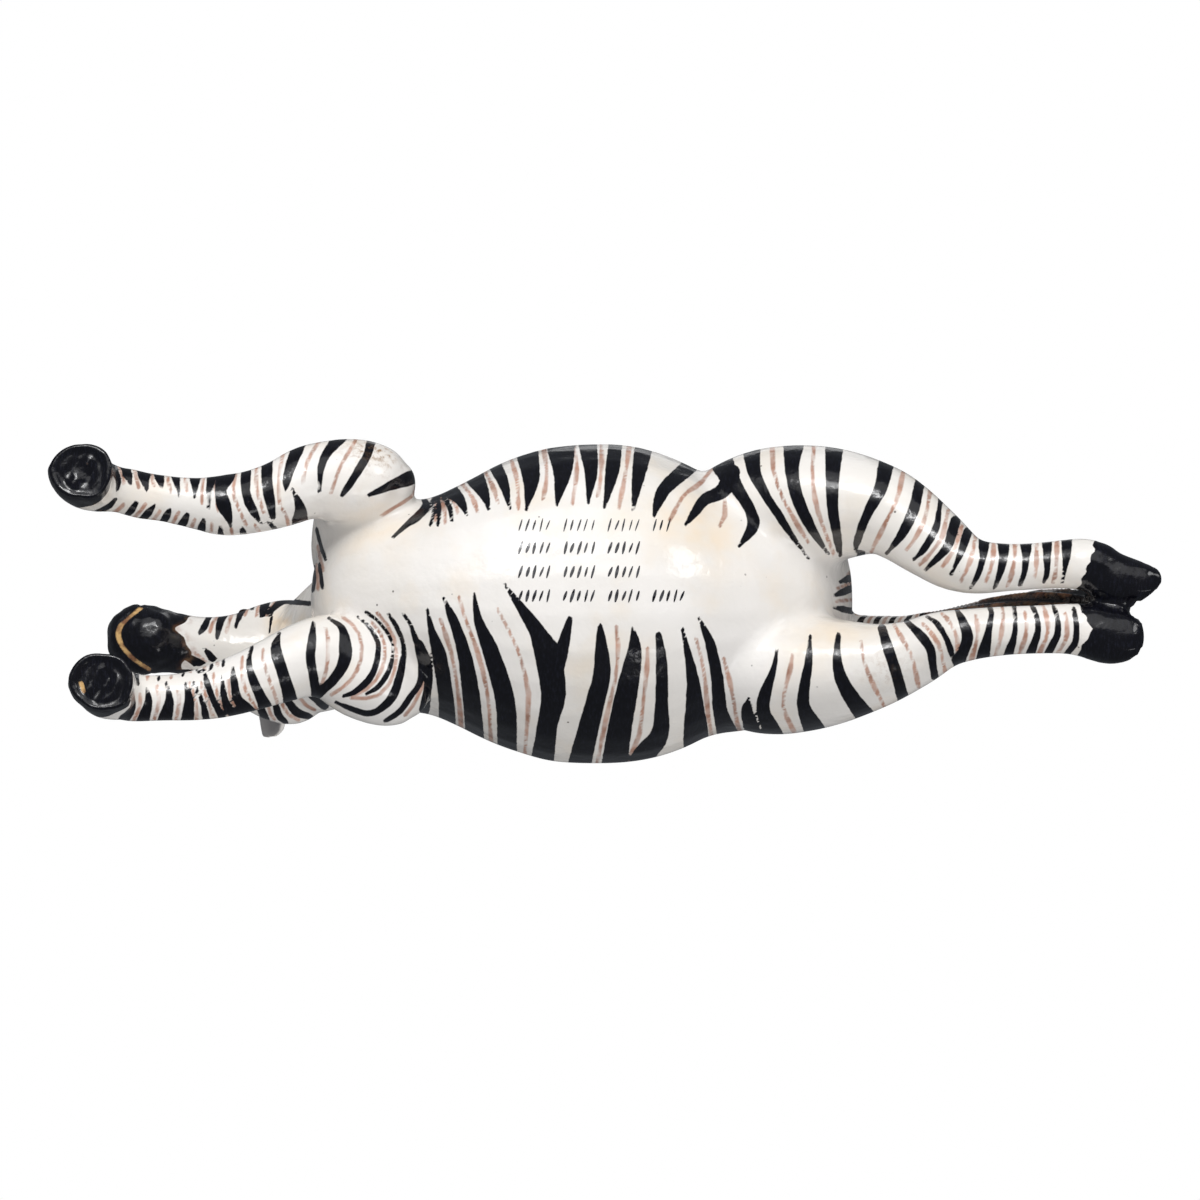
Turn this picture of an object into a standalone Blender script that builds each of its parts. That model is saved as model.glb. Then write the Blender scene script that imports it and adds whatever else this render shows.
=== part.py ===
import bpy
import bmesh
import numpy as np

# Driving sizes, in metres
LENGTH = 0.345
BARREL_WIDTH = 0.1064
BARREL_DEPTH = 0.1060
BELLY_CLEARANCE = 0.0110
CANNON_WIDTH = 0.0150
HEAD_WIDTH = 0.0430
EAR_LENGTH = 0.0270
MANE_THICKNESS = 0.0056
TAIL_WIDTH = 0.0100

# How finely the clay is modelled
GRAIN = LENGTH / 165
FACES = 8600

# Every station below is a share of the length, in units of one 345th of it
UNIT = LENGTH / 345
AXIS = (BELLY_CLEARANCE + BARREL_DEPTH / 2) / UNIT
WIDE = BARREL_WIDTH / UNIT / 106.4
DEEP = BARREL_DEPTH / UNIT / 106.0
SHANK = CANNON_WIDTH / UNIT / 15.0
FACE = HEAD_WIDTH / UNIT / 43.0

# Barrel, from breast to buttock: x, y, half width, top and underside from the middle line
TRUNK = [
    (-97.5, 0, 12, 20, -8),
    (-95, 0, 20, 27, -17),
    (-90, 0, 27.5, 34, -26),
    (-82, 0, 32, 40, -34),
    (-71, 0.6, 34.6, 45, -41),
    (-59, 1.2, 35.6, 48, -46.5),
    (-50, 1.4, 39.2, 48, -49.5),
    (-43, 1.5, 42.8, 47.5, -51),
    (-36, 1.3, 46.4, 47, -52.2),
    (-28, 1.1, 49.5, 46.5, -53),
    (-18, 1.0, 52.2, 46, -53),
    (-6, 0.9, 53.2, 45.5, -53),
    (6, 0.9, 52.8, 45.5, -52.6),
    (17, 1.0, 50.6, 46, -51),
    (27, 1.0, 47, 47, -48),
    (36, 0.8, 43, 48, -44),
    (48, 0, 41.5, 49, -38),
    (60, -0.6, 39, 48.5, -31),
    (69, -1.2, 34.5, 45.5, -23),
    (76, -2.4, 28, 40.5, -12),
    (80.5, -3.6, 19, 34, -1),
    (83, -4.2, 10, 28, 8),
]

# Limbs, neck, head and tail: x, y, height from the middle line, half width, half depth
NECK = [
    (-62, 0, 14, 27, 30),
    (-74, 1, 27, 25.5, 29),
    (-86, 3.5, 40, 23.5, 25),
    (-97, 6.5, 53, 21.5, 20.5),
    (-105, 8.5, 65, 20, 17),
    (-109, 9, 73, 16, 12),
]
HEAD = [
    (-101, 10, 75, 15, 12),
    (-108, 9.8, 70.5, 21.6, 17.6),
    (-117, 9, 66.5, 21.8, 18.8),
    (-126, 8, 63, 18.6, 16.8),
    (-135, 6.8, 59.8, 13.4, 13.6),
    (-144, 5.6, 56.6, 10.8, 11.6),
    (-153, 4.6, 53.4, 10.8, 10.8),
    (-161, 4.1, 50.4, 12.2, 10.8),
    (-167, 4, 48.4, 11.6, 9.6),
    (-170.6, 4, 47.2, 8.4, 7),
]
FORELEG_LEFT = [
    (-70.5, -33.5, -22, 10, 12),
    (-75, -35, -24, 12.8, 14.5),
    (-81, -35.4, -27, 14, 15),
    (-88, -35, -30, 13.6, 13.6),
    (-96.4, -33.8, -33, 12, 12),
    (-105, -29.6, -35.5, 10.9, 10.8),
    (-114, -26.4, -38, 10.2, 10),
    (-123, -24.8, -40, 9.9, 9.6),
    (-132, -25.2, -41.6, 8.2, 8),
    (-141, -26.3, -43, 7.4, 7.4),
    (-149, -27.3, -44.2, 7.6, 7.6),
    (-154, -28.4, -46.4, 7.4, 7.4),
]
FORELEG_RIGHT = [
    (-64.5, 31.5, -22, 10, 12),
    (-70, 32, -24, 12.8, 14.5),
    (-78, 28.4, -27, 14.2, 15),
    (-88, 22.8, -30, 13.6, 13.6),
    (-96.4, 24, -33, 12.2, 12.2),
    (-104.5, 27.7, -36, 11, 11),
    (-113, 31.7, -38.5, 9.8, 9.9),
    (-123, 35.2, -40.5, 8.7, 9),
    (-132, 37.2, -42, 7.8, 7.8),
    (-141, 38, -43.4, 7.4, 7.4),
    (-149, 38.2, -44.2, 7.6, 7.6),
    (-153, 38, -46.6, 7.3, 7.3),
]
SHOULDER_LEFT = [
    (-82, -18, 22, 13, 18),
    (-82, -22, 8, 14, 18),
    (-81, -28, -8, 14.5, 16),
    (-79, -33, -22, 13.5, 14),
]
SHOULDER_RIGHT = [
    (-81, 17, 22, 13, 18),
    (-79, 20, 8, 14, 18),
    (-75, 24, -8, 14.5, 16),
    (-71, 29.5, -22, 13, 14),
]
HINDLEG_LEFT = [
    (46, -23, 2, 21, 33),
    (54, -28, -5, 21.8, 31),
    (64, -29.8, -12, 20.6, 28),
    (75, -29.4, -20, 18.6, 23.5),
    (88, -26, -28.6, 15, 17.8),
    (96, -20.8, -33, 13.4, 14.6),
    (104, -13.6, -37.2, 12, 12.6),
    (111, -7.2, -41.2, 10.4, 11.4),
    (117.5, -4, -44.4, 8.6, 10.2),
    (126, -3, -48.2, 7.6, 8),
    (135, -2.8, -51, 7.5, 7.5),
    (144, -3, -53.6, 7.9, 7.8),
    (150, -2.6, -55.4, 8.3, 8.2),
    (156, -1.4, -56.8, 7.4, 7.2),
]
HINDLEG_RIGHT = [
    (46, 20, 2, 21, 33),
    (54, 23.4, -5, 21, 31),
    (64, 24.8, -12, 19.6, 28),
    (75, 25.6, -20, 17, 23.5),
    (88, 25, -28.6, 13.2, 17),
    (98, 22.4, -33.6, 10.8, 13.4),
    (106.5, 18.8, -38.4, 9.2, 11.4),
    (114, 17.8, -42.6, 8.3, 10),
    (126, 17.4, -48.2, 7.7, 7.9),
    (135, 17.4, -51, 7.6, 7.5),
    (144, 17.6, -53.6, 7.9, 7.8),
    (150, 18.4, -55.4, 8.4, 8.2),
    (155, 19.6, -56.8, 7.6, 7.2),
]
TAIL = [
    (70, 2, 28, 6.4, 6.4),
    (81, 4.6, 22.4, 5.2, 5.2),
    (92, 6.4, 13.4, 4.6, 4.6),
    (104, 7.8, 2.4, 4.5, 4.6),
    (116, 8.4, -9.6, 5.2, 5.2),
    (128, 8.4, -21, 6.6, 6),
    (140, 8.4, -31.5, 7.2, 6.2),
    (150, 9, -41, 6, 5.6),
    (157, 10.4, -48.5, 4.8, 4.4),
    (161, 11.4, -53.5, 3.4, 3.2),
]

# Mane, crest to withers: x, y, height, how far it stands up over the neck
MANE = [
    (-117, 9.2, 80, 3),
    (-110, 9.4, 86, 6),
    (-102, 9.2, 87.5, 7.5),
    (-93, 7.6, 82, 7),
    (-82, 5, 72, 6.5),
    (-71, 2.6, 62, 5.5),
    (-60, 1, 52, 4.5),
    (-50, 0.4, 46, 3),
]

MESH_ROUNDS = 10


def smooth_between(rows, steps):
    """Rows in between, on a curve through the rows given."""
    rows = np.array(rows, float)
    ends = np.vstack([2 * rows[0] - rows[1], rows, 2 * rows[-1] - rows[-2]])
    made = []
    for i in range(1, len(ends) - 2):
        before, here, there, after = ends[i - 1], ends[i], ends[i + 1], ends[i + 2]
        for k in range(steps):
            t = k / steps
            made.append(
                0.5
                * (
                    2 * here
                    + (there - before) * t
                    + (2 * before - 5 * here + 4 * there - after) * t * t
                    + (3 * here - before - 3 * there + after) * t**3
                )
            )
    made.append(rows[-1])
    return np.array(made)


def loft(centres, side, over, half_side, half_over, power=1.0):
    """One closed skin over rings of ellipses."""
    count = 28
    turn = np.linspace(0, 2 * np.pi, count, endpoint=False)
    across = np.sign(np.cos(turn)) * np.abs(np.cos(turn)) ** power
    up = np.sign(np.sin(turn)) * np.abs(np.sin(turn)) ** power
    points = []
    for c, s, o, a, b in zip(centres, side, over, half_side, half_over):
        points.append(c + np.outer(across * a, s) + np.outer(up * b, o))
    points = np.concatenate(points)
    faces = []
    for i in range(len(centres) - 1):
        for k in range(count):
            n = (k + 1) % count
            faces.append((i * count + k, i * count + n, (i + 1) * count + n, (i + 1) * count + k))
    last = (len(centres) - 1) * count
    faces.append(tuple(range(count))[::-1])
    faces.append(tuple(last + k for k in range(count)))
    return points, faces


def rounded(rows, grow):
    """Extra rings that close both ends as a half ball."""
    rows = [np.array(r, float) for r in rows]
    head, tail = [], []
    for first, second, made in ((rows[0], rows[1], head), (rows[-1], rows[-2], tail)):
        way = first[:3] - second[:3]
        way = way / np.linalg.norm(way)
        reach = min(first[3], first[4]) * grow
        for part in (0.35, 0.65, 0.87, 0.98):
            ring = first.copy()
            ring[:3] = first[:3] + way * reach * part
            ring[3:] = first[3:] * np.sqrt(1 - part * part)
            made.append(ring)
    return head[::-1] + rows + tail


def limb(rows, grow=0.8, thick=1.0, reference=(0, 1, 0)):
    """A tapering limb along a curve, its rings square to the curve."""
    rows = smooth_between(rows, 4)
    rows[:, 3:5] *= thick
    rows = np.array(rounded(list(rows), grow))
    centres = rows[:, :3].copy()
    centres[:, 2] += AXIS
    way = np.gradient(centres, axis=0)
    way /= np.linalg.norm(way, axis=1)[:, None]
    reference = np.array(reference, float)
    side = reference - way * (way @ reference)[:, None]
    side /= np.linalg.norm(side, axis=1)[:, None]
    over = np.cross(way, side)
    return loft(centres, side, over, rows[:, 3], rows[:, 4])


def barrel():
    rows = smooth_between(TRUNK, 4)
    top, low = rows[:, 3] * DEEP, rows[:, 4] * DEEP
    centres = np.stack([rows[:, 0], rows[:, 1], AXIS + (top + low) / 2], axis=1)
    side = np.tile((0.0, 1.0, 0.0), (len(rows), 1))
    over = np.tile((0.0, 0.0, 1.0), (len(rows), 1))
    return loft(centres, side, over, rows[:, 2] * WIDE, (top - low) / 2)


def ball(centre, radii):
    """A muscle as an ellipsoid."""
    steps = np.linspace(-0.995, 0.995, 15)
    rows = [
        (centre[0] + radii[0] * s, centre[1], centre[2] + AXIS, radii[1] * np.sqrt(1 - s * s), radii[2] * np.sqrt(1 - s * s))
        for s in np.sin(steps * np.pi / 2)
    ]
    rows = np.array(rows)
    side = np.tile((0.0, 1.0, 0.0), (len(rows), 1))
    over = np.tile((0.0, 0.0, 1.0), (len(rows), 1))
    return loft(rows[:, :3], side, over, rows[:, 3], rows[:, 4])


def stood_hoof(x, y, turn):
    """A fore hoof planted flat, widest a little over its sole."""
    rows = [
        (x + 1.2, y - 0.8, -8, 8.6, 9.2),
        (x + 1.0, y - 0.6, -3, 9.0, 9.6),
        (x + 0.7, y - 0.4, 0, 9.3, 9.9),
        (x, y, 3.4, 9.9, 10.5),
        (x + 0.2, y + 0.4, 7.4, 9.7, 10.2),
        (x + 1.8, y + 0.8, 12, 8.9, 9.2),
        (x + 4.8, y + 1.0, 17, 8.1, 8.4),
        (x + 8.4, y + 1.0, 21, 7.2, 7.6),
    ]
    rows = smooth_between(rows, 3)
    c, s = np.cos(turn), np.sin(turn)
    side = np.tile((s, c, 0.0), (len(rows), 1))
    over = np.tile((-c, s, 0.0), (len(rows), 1))
    return loft(rows[:, :3], side, over, rows[:, 3], rows[:, 4])


def trailed_hoof(x, y, turn):
    """A hind hoof laid back on its toe, the sole turned up and back."""
    rows = [
        (x - 19, y - 3.2, 8.4, 7.4, 7.4, 0.1),
        (x - 15, y - 2.2, 7.7, 8.3, 8.2, 0.25),
        (x - 10, y - 1.1, 7.0, 8.8, 9.0, 0.45),
        (x - 6.2, y - 0.4, 6.7, 8.6, 9.5, 0.62),
        (x - 4.4, y, 7.1, 7.6, 8.8, 0.72),
    ]
    rows = smooth_between(rows, 4)
    lean = rows[:, 5]
    c, s = np.cos(turn), np.sin(turn)
    side = np.tile((-s, c, 0.0), (len(rows), 1))
    over = np.stack([-np.sin(lean) * c, -np.sin(lean) * s, np.cos(lean)], axis=1)
    return loft(rows[:, :3], side, over, rows[:, 3], rows[:, 4])


def ear(root, tip, facing, width):
    """A leaf-shaped ear, hollowed on the side it faces."""
    root, tip = np.array(root, float), np.array(tip, float)
    way = (tip - root) / np.linalg.norm(tip - root)
    tip = root + way * EAR_LENGTH / UNIT
    facing = np.array(facing, float)
    facing = facing - way * (way @ facing)
    facing /= np.linalg.norm(facing)
    across = np.cross(way, facing)
    shape = [(0, 0.52), (0.12, 0.72), (0.3, 0.96), (0.5, 1.0), (0.7, 0.82), (0.86, 0.5), (0.95, 0.27), (1.0, 0.1)]
    points, count = [], 20
    turn = np.linspace(0, 2 * np.pi, count, endpoint=False)
    for t, w in smooth_between(shape, 3):
        half = width * max(w, 0.08)
        deep = 0.46 * half + 0.9
        hollow = 0.75 * half * np.sin(np.clip(t, 0, 1) * np.pi) ** 0.6
        a = np.cos(turn) * half
        b = np.sin(turn) * deep
        b = b - np.where(np.sin(turn) > 0, hollow * (1 - (a / half) ** 2) * np.sin(turn), 0)
        middle = root + (tip - root) * t
        points.append(middle + np.outer(a, across) + np.outer(b, facing))
    rings = len(points)
    points = np.concatenate(points)
    points[:, 2] += AXIS
    faces = []
    for i in range(rings - 1):
        for k in range(count):
            n = (k + 1) % count
            faces.append((i * count + k, i * count + n, (i + 1) * count + n, (i + 1) * count + k))
    faces.append(tuple(range(count))[::-1])
    faces.append(tuple((rings - 1) * count + k for k in range(count)))
    return points, faces


def mane():
    """A short upright crest along the top of the neck."""
    rows = smooth_between(MANE, 5)
    half = MANE_THICKNESS / UNIT / 2
    centres = rows[:, :3].copy()
    centres[:, 2] += AXIS + rows[:, 3] - 12
    side = np.tile((0.0, 1.0, 0.0), (len(rows), 1))
    way = np.gradient(centres, axis=0)
    way /= np.linalg.norm(way, axis=1)[:, None]
    over = np.cross(way, side)
    over *= np.sign(over[:, 2])[:, None]
    return loft(centres, side, over, half * np.ones(len(rows)), 12 * np.ones(len(rows)), 0.7)


def body_parts():
    shank = SHANK
    parts = [
        barrel(),
        limb(NECK),
        limb(HEAD, 0.55, FACE),
        limb(FORELEG_LEFT, 0.7, shank),
        limb(FORELEG_RIGHT, 0.7, shank),
        limb(SHOULDER_LEFT, 0.6, 1.0, (0.3, 1, 0)),
        limb(SHOULDER_RIGHT, 0.6, 1.0, (-0.3, 1, 0)),
        limb(HINDLEG_LEFT, 0.7, shank),
        limb(HINDLEG_RIGHT, 0.7, shank),
        limb(TAIL, 0.8, TAIL_WIDTH / UNIT / 10.0),
        mane(),
        ball((-108, 22.5, 63.5), (9, 6 * FACE, 9)),
        ball((-108, -3.5, 63.5), (9, 6 * FACE, 9)),
        ball((-127, 20.6, 70), (5.4, 3.8 * FACE, 4.2)),
        ball((-127, -4, 70), (5.4, 3.8 * FACE, 4.2)),
        ball((-163.5, 12.4, 53.5), (4.6, 3.2 * FACE, 4)),
        ball((-163.5, -4.4, 53.5), (4.6, 3.2 * FACE, 4)),
        ball((-158, 4.4, 43.4), (8.6, 9.4 * FACE, 5)),
        ball((111.5, -6.4, -32.5), (6.4, 5, 4.6)),
        ball((111.5, 18, -33.5), (6.2, 4.6, 4.4)),
        stood_hoof(-165.2, -30.2, 0.45),
        stood_hoof(-157.0, 36.6, 0.1),
        trailed_hoof(172, 3.6, 0.24),
        trailed_hoof(166, 21.6, 0.08),
        ear((-117, 20, 77), (-124.5, 34, 92.5), (-0.6, 0.2, -0.7), 6.8),
        ear((-115, -1, 79), (-120, -9, 101), (-0.9, -0.35, -0.2), 6.8),
    ]
    return parts


def joined(parts, name):
    points, faces, start = [], [], 0
    for part_points, part_faces in parts:
        points.append(part_points)
        faces.extend(tuple(start + i for i in face) for face in part_faces)
        start += len(part_points)
    mesh = bpy.data.meshes.new(name)
    mesh.from_pydata((np.concatenate(points) * UNIT).tolist(), [], faces)
    mesh.update()
    work = bmesh.new()
    work.from_mesh(mesh)
    bmesh.ops.recalc_face_normals(work, faces=work.faces)
    work.to_mesh(mesh)
    work.free()
    return mesh


def baked(mesh, kind, **settings):
    """The mesh with one modifier worked in."""
    holder = bpy.data.objects.new("holder", mesh)
    bpy.context.scene.collection.objects.link(holder)
    modifier = holder.modifiers.new("work", kind)
    for key, value in settings.items():
        setattr(modifier, key, value)
    graph = bpy.context.evaluated_depsgraph_get()
    made = bpy.data.meshes.new_from_object(holder.evaluated_get(graph))
    bpy.data.objects.remove(holder)
    return made


def softened(mesh, rounds, hollows, ridges):
    """Creases are filled in faster than ridges are worn down."""
    count = len(mesh.vertices)
    points = np.empty(count * 3)
    mesh.vertices.foreach_get("co", points)
    points = points.reshape(-1, 3)
    edges = np.empty(len(mesh.edges) * 2, int)
    mesh.edges.foreach_get("vertices", edges)
    edges = edges.reshape(-1, 2)
    near = np.bincount(edges.ravel(), minlength=count)[:, None]
    for _ in range(rounds):
        total = np.zeros_like(points)
        for k in range(3):
            total[:, k] = np.bincount(edges[:, 0], points[edges[:, 1], k], count)
            total[:, k] += np.bincount(edges[:, 1], points[edges[:, 0], k], count)
        pull = total / near - points
        mesh.vertices.foreach_set("co", points.ravel())
        mesh.update()
        normals = np.empty(count * 3)
        mesh.vertex_normals.foreach_get("vector", normals)
        outward = (pull * normals.reshape(-1, 3)).sum(axis=1)
        points = points + pull * np.where(outward > 0, hollows, ridges)[:, None]
    mesh.vertices.foreach_set("co", points.ravel())
    mesh.update()
    return mesh


def stood_on_floor(mesh):
    """Cut flat at the floor, and set over the middle of its own box."""
    work = bmesh.new()
    work.from_mesh(mesh)
    everything = work.verts[:] + work.edges[:] + work.faces[:]
    cut = bmesh.ops.bisect_plane(
        work, geom=everything, dist=1e-7, plane_co=(0, 0, 0), plane_no=(0, 0, -1), clear_outer=True
    )
    rim = [e for e in cut["geom_cut"] if isinstance(e, bmesh.types.BMEdge)]
    bmesh.ops.holes_fill(work, edges=rim, sides=0)
    bmesh.ops.dissolve_degenerate(work, edges=work.edges, dist=1e-6)
    bmesh.ops.triangulate(work, faces=work.faces)
    bmesh.ops.recalc_face_normals(work, faces=work.faces)
    xs = [v.co.x for v in work.verts]
    ys = [v.co.y for v in work.verts]
    shift = (-(min(xs) + max(xs)) / 2, -(min(ys) + max(ys)) / 2, 0)
    bmesh.ops.translate(work, verts=work.verts, vec=shift)
    work.to_mesh(mesh)
    work.free()
    mesh.update()
    return mesh


def glaze(name, colour):
    material = bpy.data.materials.new(name)
    material.use_nodes = True
    shader = material.node_tree.nodes["Principled BSDF"]
    shader.inputs["Base Color"].default_value = (*colour, 1)
    shader.inputs["Roughness"].default_value = 0.15
    return material


for old in list(bpy.data.objects):
    bpy.data.objects.remove(old)

form = joined(body_parts(), "form")
form = baked(form, "REMESH", mode="VOXEL", voxel_size=GRAIN, use_smooth_shade=True)
form = softened(form, MESH_ROUNDS, 0.55, 0.18)
triangles = sum(len(p.vertices) - 2 for p in form.polygons)
form = baked(form, "DECIMATE", ratio=min(1.0, FACES / triangles))
form = stood_on_floor(form)
form.materials.clear()
form.materials.append(glaze("ivory_glaze", (0.80, 0.76, 0.69)))
zebra = bpy.data.objects.new("zebra", form)
bpy.context.scene.collection.objects.link(zebra)
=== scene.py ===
import math

import bmesh
import bpy
import numpy as np
from mathutils import Matrix, Vector, noise
from mathutils.bvhtree import BVHTree


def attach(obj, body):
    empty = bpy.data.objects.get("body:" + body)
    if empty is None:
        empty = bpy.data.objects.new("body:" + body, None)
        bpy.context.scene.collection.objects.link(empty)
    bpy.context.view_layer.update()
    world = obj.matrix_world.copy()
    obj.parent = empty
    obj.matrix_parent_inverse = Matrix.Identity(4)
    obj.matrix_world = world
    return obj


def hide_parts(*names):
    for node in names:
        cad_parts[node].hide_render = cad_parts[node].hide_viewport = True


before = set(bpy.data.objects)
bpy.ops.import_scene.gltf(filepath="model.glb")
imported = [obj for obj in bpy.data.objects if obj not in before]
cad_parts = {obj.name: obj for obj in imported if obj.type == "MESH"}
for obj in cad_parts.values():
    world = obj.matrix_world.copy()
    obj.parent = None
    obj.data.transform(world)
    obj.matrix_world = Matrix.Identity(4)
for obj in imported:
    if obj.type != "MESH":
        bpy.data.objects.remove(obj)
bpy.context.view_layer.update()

# Driving sizes, in metres
LENGTH = 0.345
BARREL_WIDTH = 0.1064
BARREL_DEPTH = 0.1060
BELLY_CLEARANCE = 0.0110
CANNON_WIDTH = 0.0150
HEAD_WIDTH = 0.0430
EAR_LENGTH = 0.0270
MANE_THICKNESS = 0.0056
TAIL_WIDTH = 0.0100

# How finely the visible skin is modelled
FINE_GRAIN = 0.00124
SOFT_ROUNDS = 18

# Every station below is a share of the length, in units of one 345th of it
UNIT = LENGTH / 345
AXIS = (BELLY_CLEARANCE + BARREL_DEPTH / 2) / UNIT
WIDE = BARREL_WIDTH / UNIT / 106.4
DEEP = BARREL_DEPTH / UNIT / 106.0
SHANK = CANNON_WIDTH / UNIT / 15.0
FACE = HEAD_WIDTH / UNIT / 43.0

# Barrel, from breast to buttock: x, y, half width, top and underside from the middle line
TRUNK = [
    (-97.5, 0, 12, 20, -8),
    (-95, 0, 20, 27, -17),
    (-90, 0, 27.5, 34, -26),
    (-82, 0, 32, 40, -34),
    (-71, 0.6, 34.6, 45, -41),
    (-59, 1.2, 35.6, 48, -46.5),
    (-50, 1.4, 39.2, 48, -49.5),
    (-43, 1.5, 42.8, 47.5, -51),
    (-36, 1.3, 46.4, 47, -52.2),
    (-28, 1.1, 49.5, 46.5, -53),
    (-18, 1.0, 52.2, 46, -53),
    (-6, 0.9, 53.2, 45.5, -53),
    (6, 0.9, 52.8, 45.5, -52.6),
    (17, 1.0, 50.6, 46, -51),
    (27, 1.0, 47, 47, -48),
    (36, 0.8, 43, 48, -44),
    (48, 0, 41.5, 49, -38),
    (60, -0.6, 39, 48.5, -31),
    (69, -1.2, 34.5, 45.5, -23),
    (76, -2.4, 28, 40.5, -12),
    (80.5, -3.6, 19, 34, -1),
    (83, -4.2, 10, 28, 8),
]

# Limbs, neck, head and tail: x, y, height from the middle line, half width, half depth
NECK = [
    (-62, 0, 14, 27, 30),
    (-74, 1, 27, 25.5, 29),
    (-86, 3.5, 40, 23.5, 25),
    (-97, 6.5, 53, 21.5, 20.5),
    (-105, 8.5, 65, 20, 17),
    (-109, 9, 73, 16, 12),
]
HEAD = [
    (-101, 10, 75, 15, 12),
    (-108, 9.8, 70.5, 21.6, 17.6),
    (-117, 9, 66.5, 21.8, 18.8),
    (-126, 8, 63, 18.6, 16.8),
    (-135, 6.8, 59.8, 13.4, 13.6),
    (-144, 5.6, 56.6, 10.8, 11.6),
    (-153, 4.6, 53.4, 10.8, 10.8),
    (-161, 4.1, 50.4, 12.2, 10.8),
    (-167, 4, 48.4, 11.6, 9.6),
    (-170.6, 4, 47.2, 8.4, 7),
]
FORELEG_LEFT = [
    (-70.5, -33.5, -22, 10, 12),
    (-75, -35, -24, 12.8, 14.5),
    (-81, -35.4, -27, 14, 15),
    (-88, -35, -30, 13.6, 13.6),
    (-96.4, -33.8, -33, 12, 12),
    (-105, -29.6, -35.5, 10.9, 10.8),
    (-114, -26.4, -38, 10.2, 10),
    (-123, -24.8, -40, 9.9, 9.6),
    (-132, -25.2, -41.6, 8.2, 8),
    (-141, -26.3, -43, 7.4, 7.4),
    (-149, -27.3, -44.2, 7.6, 7.6),
    (-154, -28.4, -46.4, 7.4, 7.4),
]
FORELEG_RIGHT = [
    (-64.5, 31.5, -22, 10, 12),
    (-70, 32, -24, 12.8, 14.5),
    (-78, 28.4, -27, 14.2, 15),
    (-88, 22.8, -30, 13.6, 13.6),
    (-96.4, 24, -33, 12.2, 12.2),
    (-104.5, 27.7, -36, 11, 11),
    (-113, 31.7, -38.5, 9.8, 9.9),
    (-123, 35.2, -40.5, 8.7, 9),
    (-132, 37.2, -42, 7.8, 7.8),
    (-141, 38, -43.4, 7.4, 7.4),
    (-149, 38.2, -44.2, 7.6, 7.6),
    (-153, 38, -46.6, 7.3, 7.3),
]
SHOULDER_LEFT = [
    (-82, -18, 22, 13, 18),
    (-82, -22, 8, 14, 18),
    (-81, -28, -8, 14.5, 16),
    (-79, -33, -22, 13.5, 14),
]
SHOULDER_RIGHT = [
    (-81, 17, 22, 13, 18),
    (-79, 20, 8, 14, 18),
    (-75, 24, -8, 14.5, 16),
    (-71, 29.5, -22, 13, 14),
]
HINDLEG_LEFT = [
    (46, -23, 2, 21, 33),
    (54, -28, -5, 21.8, 31),
    (64, -29.8, -12, 20.6, 28),
    (75, -29.4, -20, 18.6, 23.5),
    (88, -26, -28.6, 15, 17.8),
    (96, -20.8, -33, 13.4, 14.6),
    (104, -13.6, -37.2, 12, 12.6),
    (111, -7.2, -41.2, 10.4, 11.4),
    (117.5, -4, -44.4, 8.6, 10.2),
    (126, -3, -48.2, 7.6, 8),
    (135, -2.8, -51, 7.5, 7.5),
    (144, -3, -53.6, 7.9, 7.8),
    (150, -2.6, -55.4, 8.3, 8.2),
    (156, -1.4, -56.8, 7.4, 7.2),
]
HINDLEG_RIGHT = [
    (46, 20, 2, 21, 33),
    (54, 23.4, -5, 21, 31),
    (64, 24.8, -12, 19.6, 28),
    (75, 25.6, -20, 17, 23.5),
    (88, 25, -28.6, 13.2, 17),
    (98, 22.4, -33.6, 10.8, 13.4),
    (106.5, 18.8, -38.4, 9.2, 11.4),
    (114, 17.8, -42.6, 8.3, 10),
    (126, 17.4, -48.2, 7.7, 7.9),
    (135, 17.4, -51, 7.6, 7.5),
    (144, 17.6, -53.6, 7.9, 7.8),
    (150, 18.4, -55.4, 8.4, 8.2),
    (155, 19.6, -56.8, 7.6, 7.2),
]
TAIL = [
    (70, 2, 28, 6.4, 6.4),
    (81, 4.6, 22.4, 5.2, 5.2),
    (92, 6.4, 13.4, 4.6, 4.6),
    (104, 7.8, 2.4, 4.5, 4.6),
    (116, 8.4, -9.6, 5.2, 5.2),
    (128, 8.4, -21, 6.6, 6),
    (140, 8.4, -31.5, 7.2, 6.2),
    (150, 9, -41, 6, 5.6),
    (157, 10.4, -48.5, 4.8, 4.4),
    (161, 11.4, -53.5, 3.4, 3.2),
]

# Mane, crest to withers: x, y, height, how far it stands up over the neck
MANE = [
    (-117, 9.2, 80, 3),
    (-110, 9.4, 86, 6),
    (-102, 9.2, 87.5, 7.5),
    (-93, 7.6, 82, 7),
    (-82, 5, 72, 6.5),
    (-71, 2.6, 62, 5.5),
    (-60, 1, 52, 4.5),
    (-50, 0.4, 46, 3),
]


def smooth_between(rows, steps):
    """Rows in between, on a curve through the rows given."""
    rows = np.array(rows, float)
    ends = np.vstack([2 * rows[0] - rows[1], rows, 2 * rows[-1] - rows[-2]])
    made = []
    for i in range(1, len(ends) - 2):
        before, here, there, after = ends[i - 1], ends[i], ends[i + 1], ends[i + 2]
        for k in range(steps):
            t = k / steps
            bend = 2 * before - 5 * here + 4 * there - after
            sway = 3 * here - before - 3 * there + after
            made.append(0.5 * (2 * here + (there - before) * t + bend * t * t + sway * t**3))
    made.append(rows[-1])
    return np.array(made)


def closed_faces(rings, count):
    """Faces from ring to ring, and one over each end."""
    faces = []
    for i in range(rings - 1):
        for k in range(count):
            n = (k + 1) % count
            faces.append((i * count + k, i * count + n, (i + 1) * count + n, (i + 1) * count + k))
    faces.append(tuple(range(count))[::-1])
    faces.append(tuple((rings - 1) * count + k for k in range(count)))
    return faces


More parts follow.
